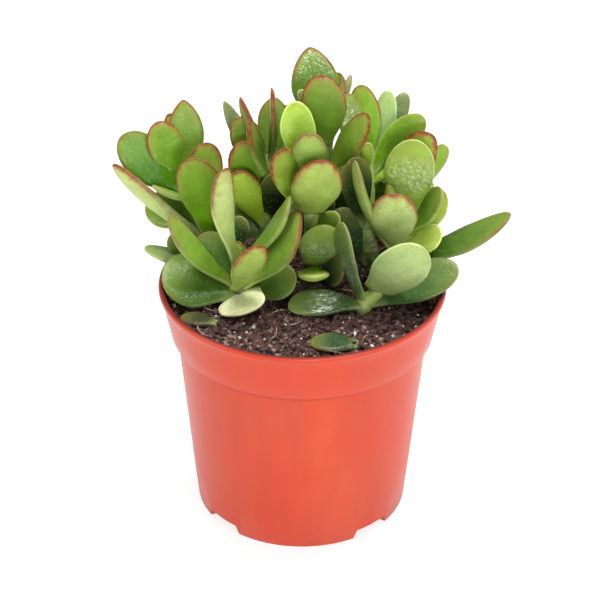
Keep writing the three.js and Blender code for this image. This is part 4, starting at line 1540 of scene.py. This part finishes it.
            leaf((41, 19, 114), (59, 26, 134), (-4, -8, 5), 15, 4.5, 1.5, Tone.FRESH, 0.2),
            leaf((40, 17, 111), (58, 14, 121), (-1, -7, 10), 13, 4, 1.5, Tone.TENDER, 0.1),
            leaf((38, 17, 111), (21, -3, 163), (9, 4, 3), 9, 4.5, 3, Tone.MID, 0.25),
            leaf((40, 20, 104), (87, 18, 127.3), (-3, -2, 10), 16, 5, 3.6, Tone.DEEP, 0.3, 0.32, 0.6, 0.4),
            leaf((40, 17, 123), (35, 12, 144), (1, -9, 4), 5, 2.5, 0, Tone.LIME, 0.3),
            leaf((40, 19, 116), (52, 45, 128), (-1, -6, 8), 15, 4.5, 2, Tone.MID, 0.3),
            leaf((40, 19, 107), (54, 42, 123), (-1, -3, 10), 14, 4.5, 2, Tone.DEEP, 0.2),
            leaf((42, 19, 126), (48, 45, 142), (0, -4, 10), 14, 4.5, 2, Tone.MID, 0.3),
            leaf((41, 18, 118), (53, 41, 132), (-1, -4, 10), 13, 4.5, 2, Tone.MID, 0.3),
        ],
    ),
    LeafyStem(
        name="stem_front_right",
        path=((25, -10, 80), (25, -10, 98), (27, -9.3, 101), (31.8, -9, 106.2)),
        radius=(3.8, 3.8, 3.4, 2.4),
        leaves=[
            leaf((26, -9, 100), (16, -16, 142), (-8, -5, 2), 13, 4.5, -2.5, Tone.SHADE, 0.1, shine=0.45),
            leaf(
                (25, -11, 100), (-6, -12, 100), (0, -2, 10), 16, 4.2, -1,
                Tone.SHADE, 0.1, shine=0.5, glint=1.5,
            ),
            leaf(
                (31.8, -9, 106.6), (45.8, -22, 135.6), (-2, 9, -3), 23, 5, 2.5,
                Tone.GREY, 0.1, 0.6, 0.52, shine=0.5, glint=0.6,
            ),
            leaf((27, -9, 100), (64.1, -6, 115.4), (-1, -6, 10), 18, 4.8, 0.8, Tone.SHADE, 0.1),
        ],
    ),
]

# the two leaves that have dropped on the soil
DROPPED = {
    "dropped_leaf_front": leaf(
        (22.5, -38, 97.7), (3, -36.5, 97.8), (0, -1, 10), 12.5, 3.4, -0.4,
        Tone.FALLEN, 0.3, 0.4, 0.5,
    ),
    "dropped_leaf_left": leaf(
        (-35, -22, 97.5), (-50, -17, 97.6), (0, -1, 10), 9, 2.6, -0.3,
        Tone.WILTED, 0.2, 0.4, 0.55,
    ),
}


# ---------------------------------------------------------------------------------------------
# studio
# ---------------------------------------------------------------------------------------------
@dataclass
class Studio:
    """White paper, soft boxes and the camera, at the height and distance of the photograph."""

    aim: tuple = (-0.00099, 0.0, 0.09554)
    distance: float = 0.9481
    elevation: float = 31.404
    roll: float = -0.356
    lens: float = 135.94
    sky: float = 0.15

    def camera(self) -> None:
        """Place the camera: it looks along +Y and down, from the front."""
        data = bpy.data.cameras.new("studio_camera")
        data.sensor_width = 36.0
        data.lens = self.lens
        data.clip_start, data.clip_end = 0.05, 20.0
        obj = bpy.data.objects.new("studio_camera", data)
        tilt = math.radians(self.elevation)
        obj.location = Vector(self.aim) + Vector((0, -math.cos(tilt), math.sin(tilt))) * self.distance
        pitch = Matrix.Rotation(math.radians(90) - tilt, 3, "X")
        obj.rotation_euler = (pitch @ Matrix.Rotation(math.radians(-self.roll), 3, "Z")).to_euler()
        bpy.context.scene.collection.objects.link(obj)
        bpy.context.scene.camera = obj

    def soft_box(self, name: str, place: tuple, size: float, power: float) -> None:
        """Add one square soft box that faces the plant.

        Args:
            name: name of the light.
            place: where it hangs, in metres.
            size: length of its side, in metres.
            power: its power, in watts.
        """
        data = bpy.data.lights.new(name, "AREA")
        data.shape, data.size, data.energy = "SQUARE", size, power
        obj = bpy.data.objects.new(name, data)
        obj.location = place
        way = Vector((0, 0, 0.09)) - Vector(place)
        obj.rotation_euler = way.to_track_quat("-Z", "Y").to_euler()
        bpy.context.scene.collection.objects.link(obj)

    def lights(self) -> None:
        """Set the white surroundings and the soft boxes."""
        world = bpy.data.worlds.new("white_tent")
        world.use_nodes = True
        world.node_tree.nodes["Background"].inputs[0].default_value = (1.0, 1.0, 1.0, 1.0)
        world.node_tree.nodes["Background"].inputs[1].default_value = self.sky
        bpy.context.scene.world = world
        self.soft_box("box_front_right", (0.65, -0.85, 0.55), 0.5, 5.0)
        self.soft_box("box_left", (-0.95, -0.35, 0.50), 0.5, 3.4)
        self.soft_box("box_back_right", (0.80, 0.55, 0.60), 0.4, 5.0)
        self.soft_box("box_front_low", (0.10, -0.97, 0.20), 0.28, 3.4)
        self.soft_box("box_top_back", (0.0, 0.10, 1.15), 0.6, 16.5)

    def paper(self) -> None:
        """Lay the paper that runs out of the picture on every side."""
        deselect_all()
        bpy.ops.mesh.primitive_grid_add(x_subdivisions=2, y_subdivisions=2, size=6.0)
        floor = bpy.context.object
        floor.name = floor.data.name = "studio_paper"
        floor.data.materials.append(StudioPaper().build())

    def build(self) -> None:
        """Set up the whole studio."""
        self.camera()
        self.lights()
        self.paper()
        view = bpy.context.scene.view_settings
        view.view_transform = "Standard"
        LOG.info("studio: camera %.0f mm lens at %.2f m", self.lens, self.distance)


def main() -> None:
    """Build every piece in order."""
    logging.basicConfig(level=logging.INFO, format="%(name)s: %(message)s")
    Studio().build()
    NurseryPot().build(MouldedPolypropylene())
    SoilBed(seen_perlite=SEEN_PERLITE).build()
    blank = LeafBlank()
    blank.build()
    skin, bark = LeafCuticle().build(), YoungBark().build()
    for index, stem in enumerate(STEMS):
        stem.build(blank, skin, bark, index + 1)
    for index, (name, plan) in enumerate(DROPPED.items()):
        cluster = LeafCluster(name + "_flesh", blank, 40 + index)
        cluster.add(plan)
        settle(cluster.finish(), name, skin)


if __name__ == "__main__":
    main()
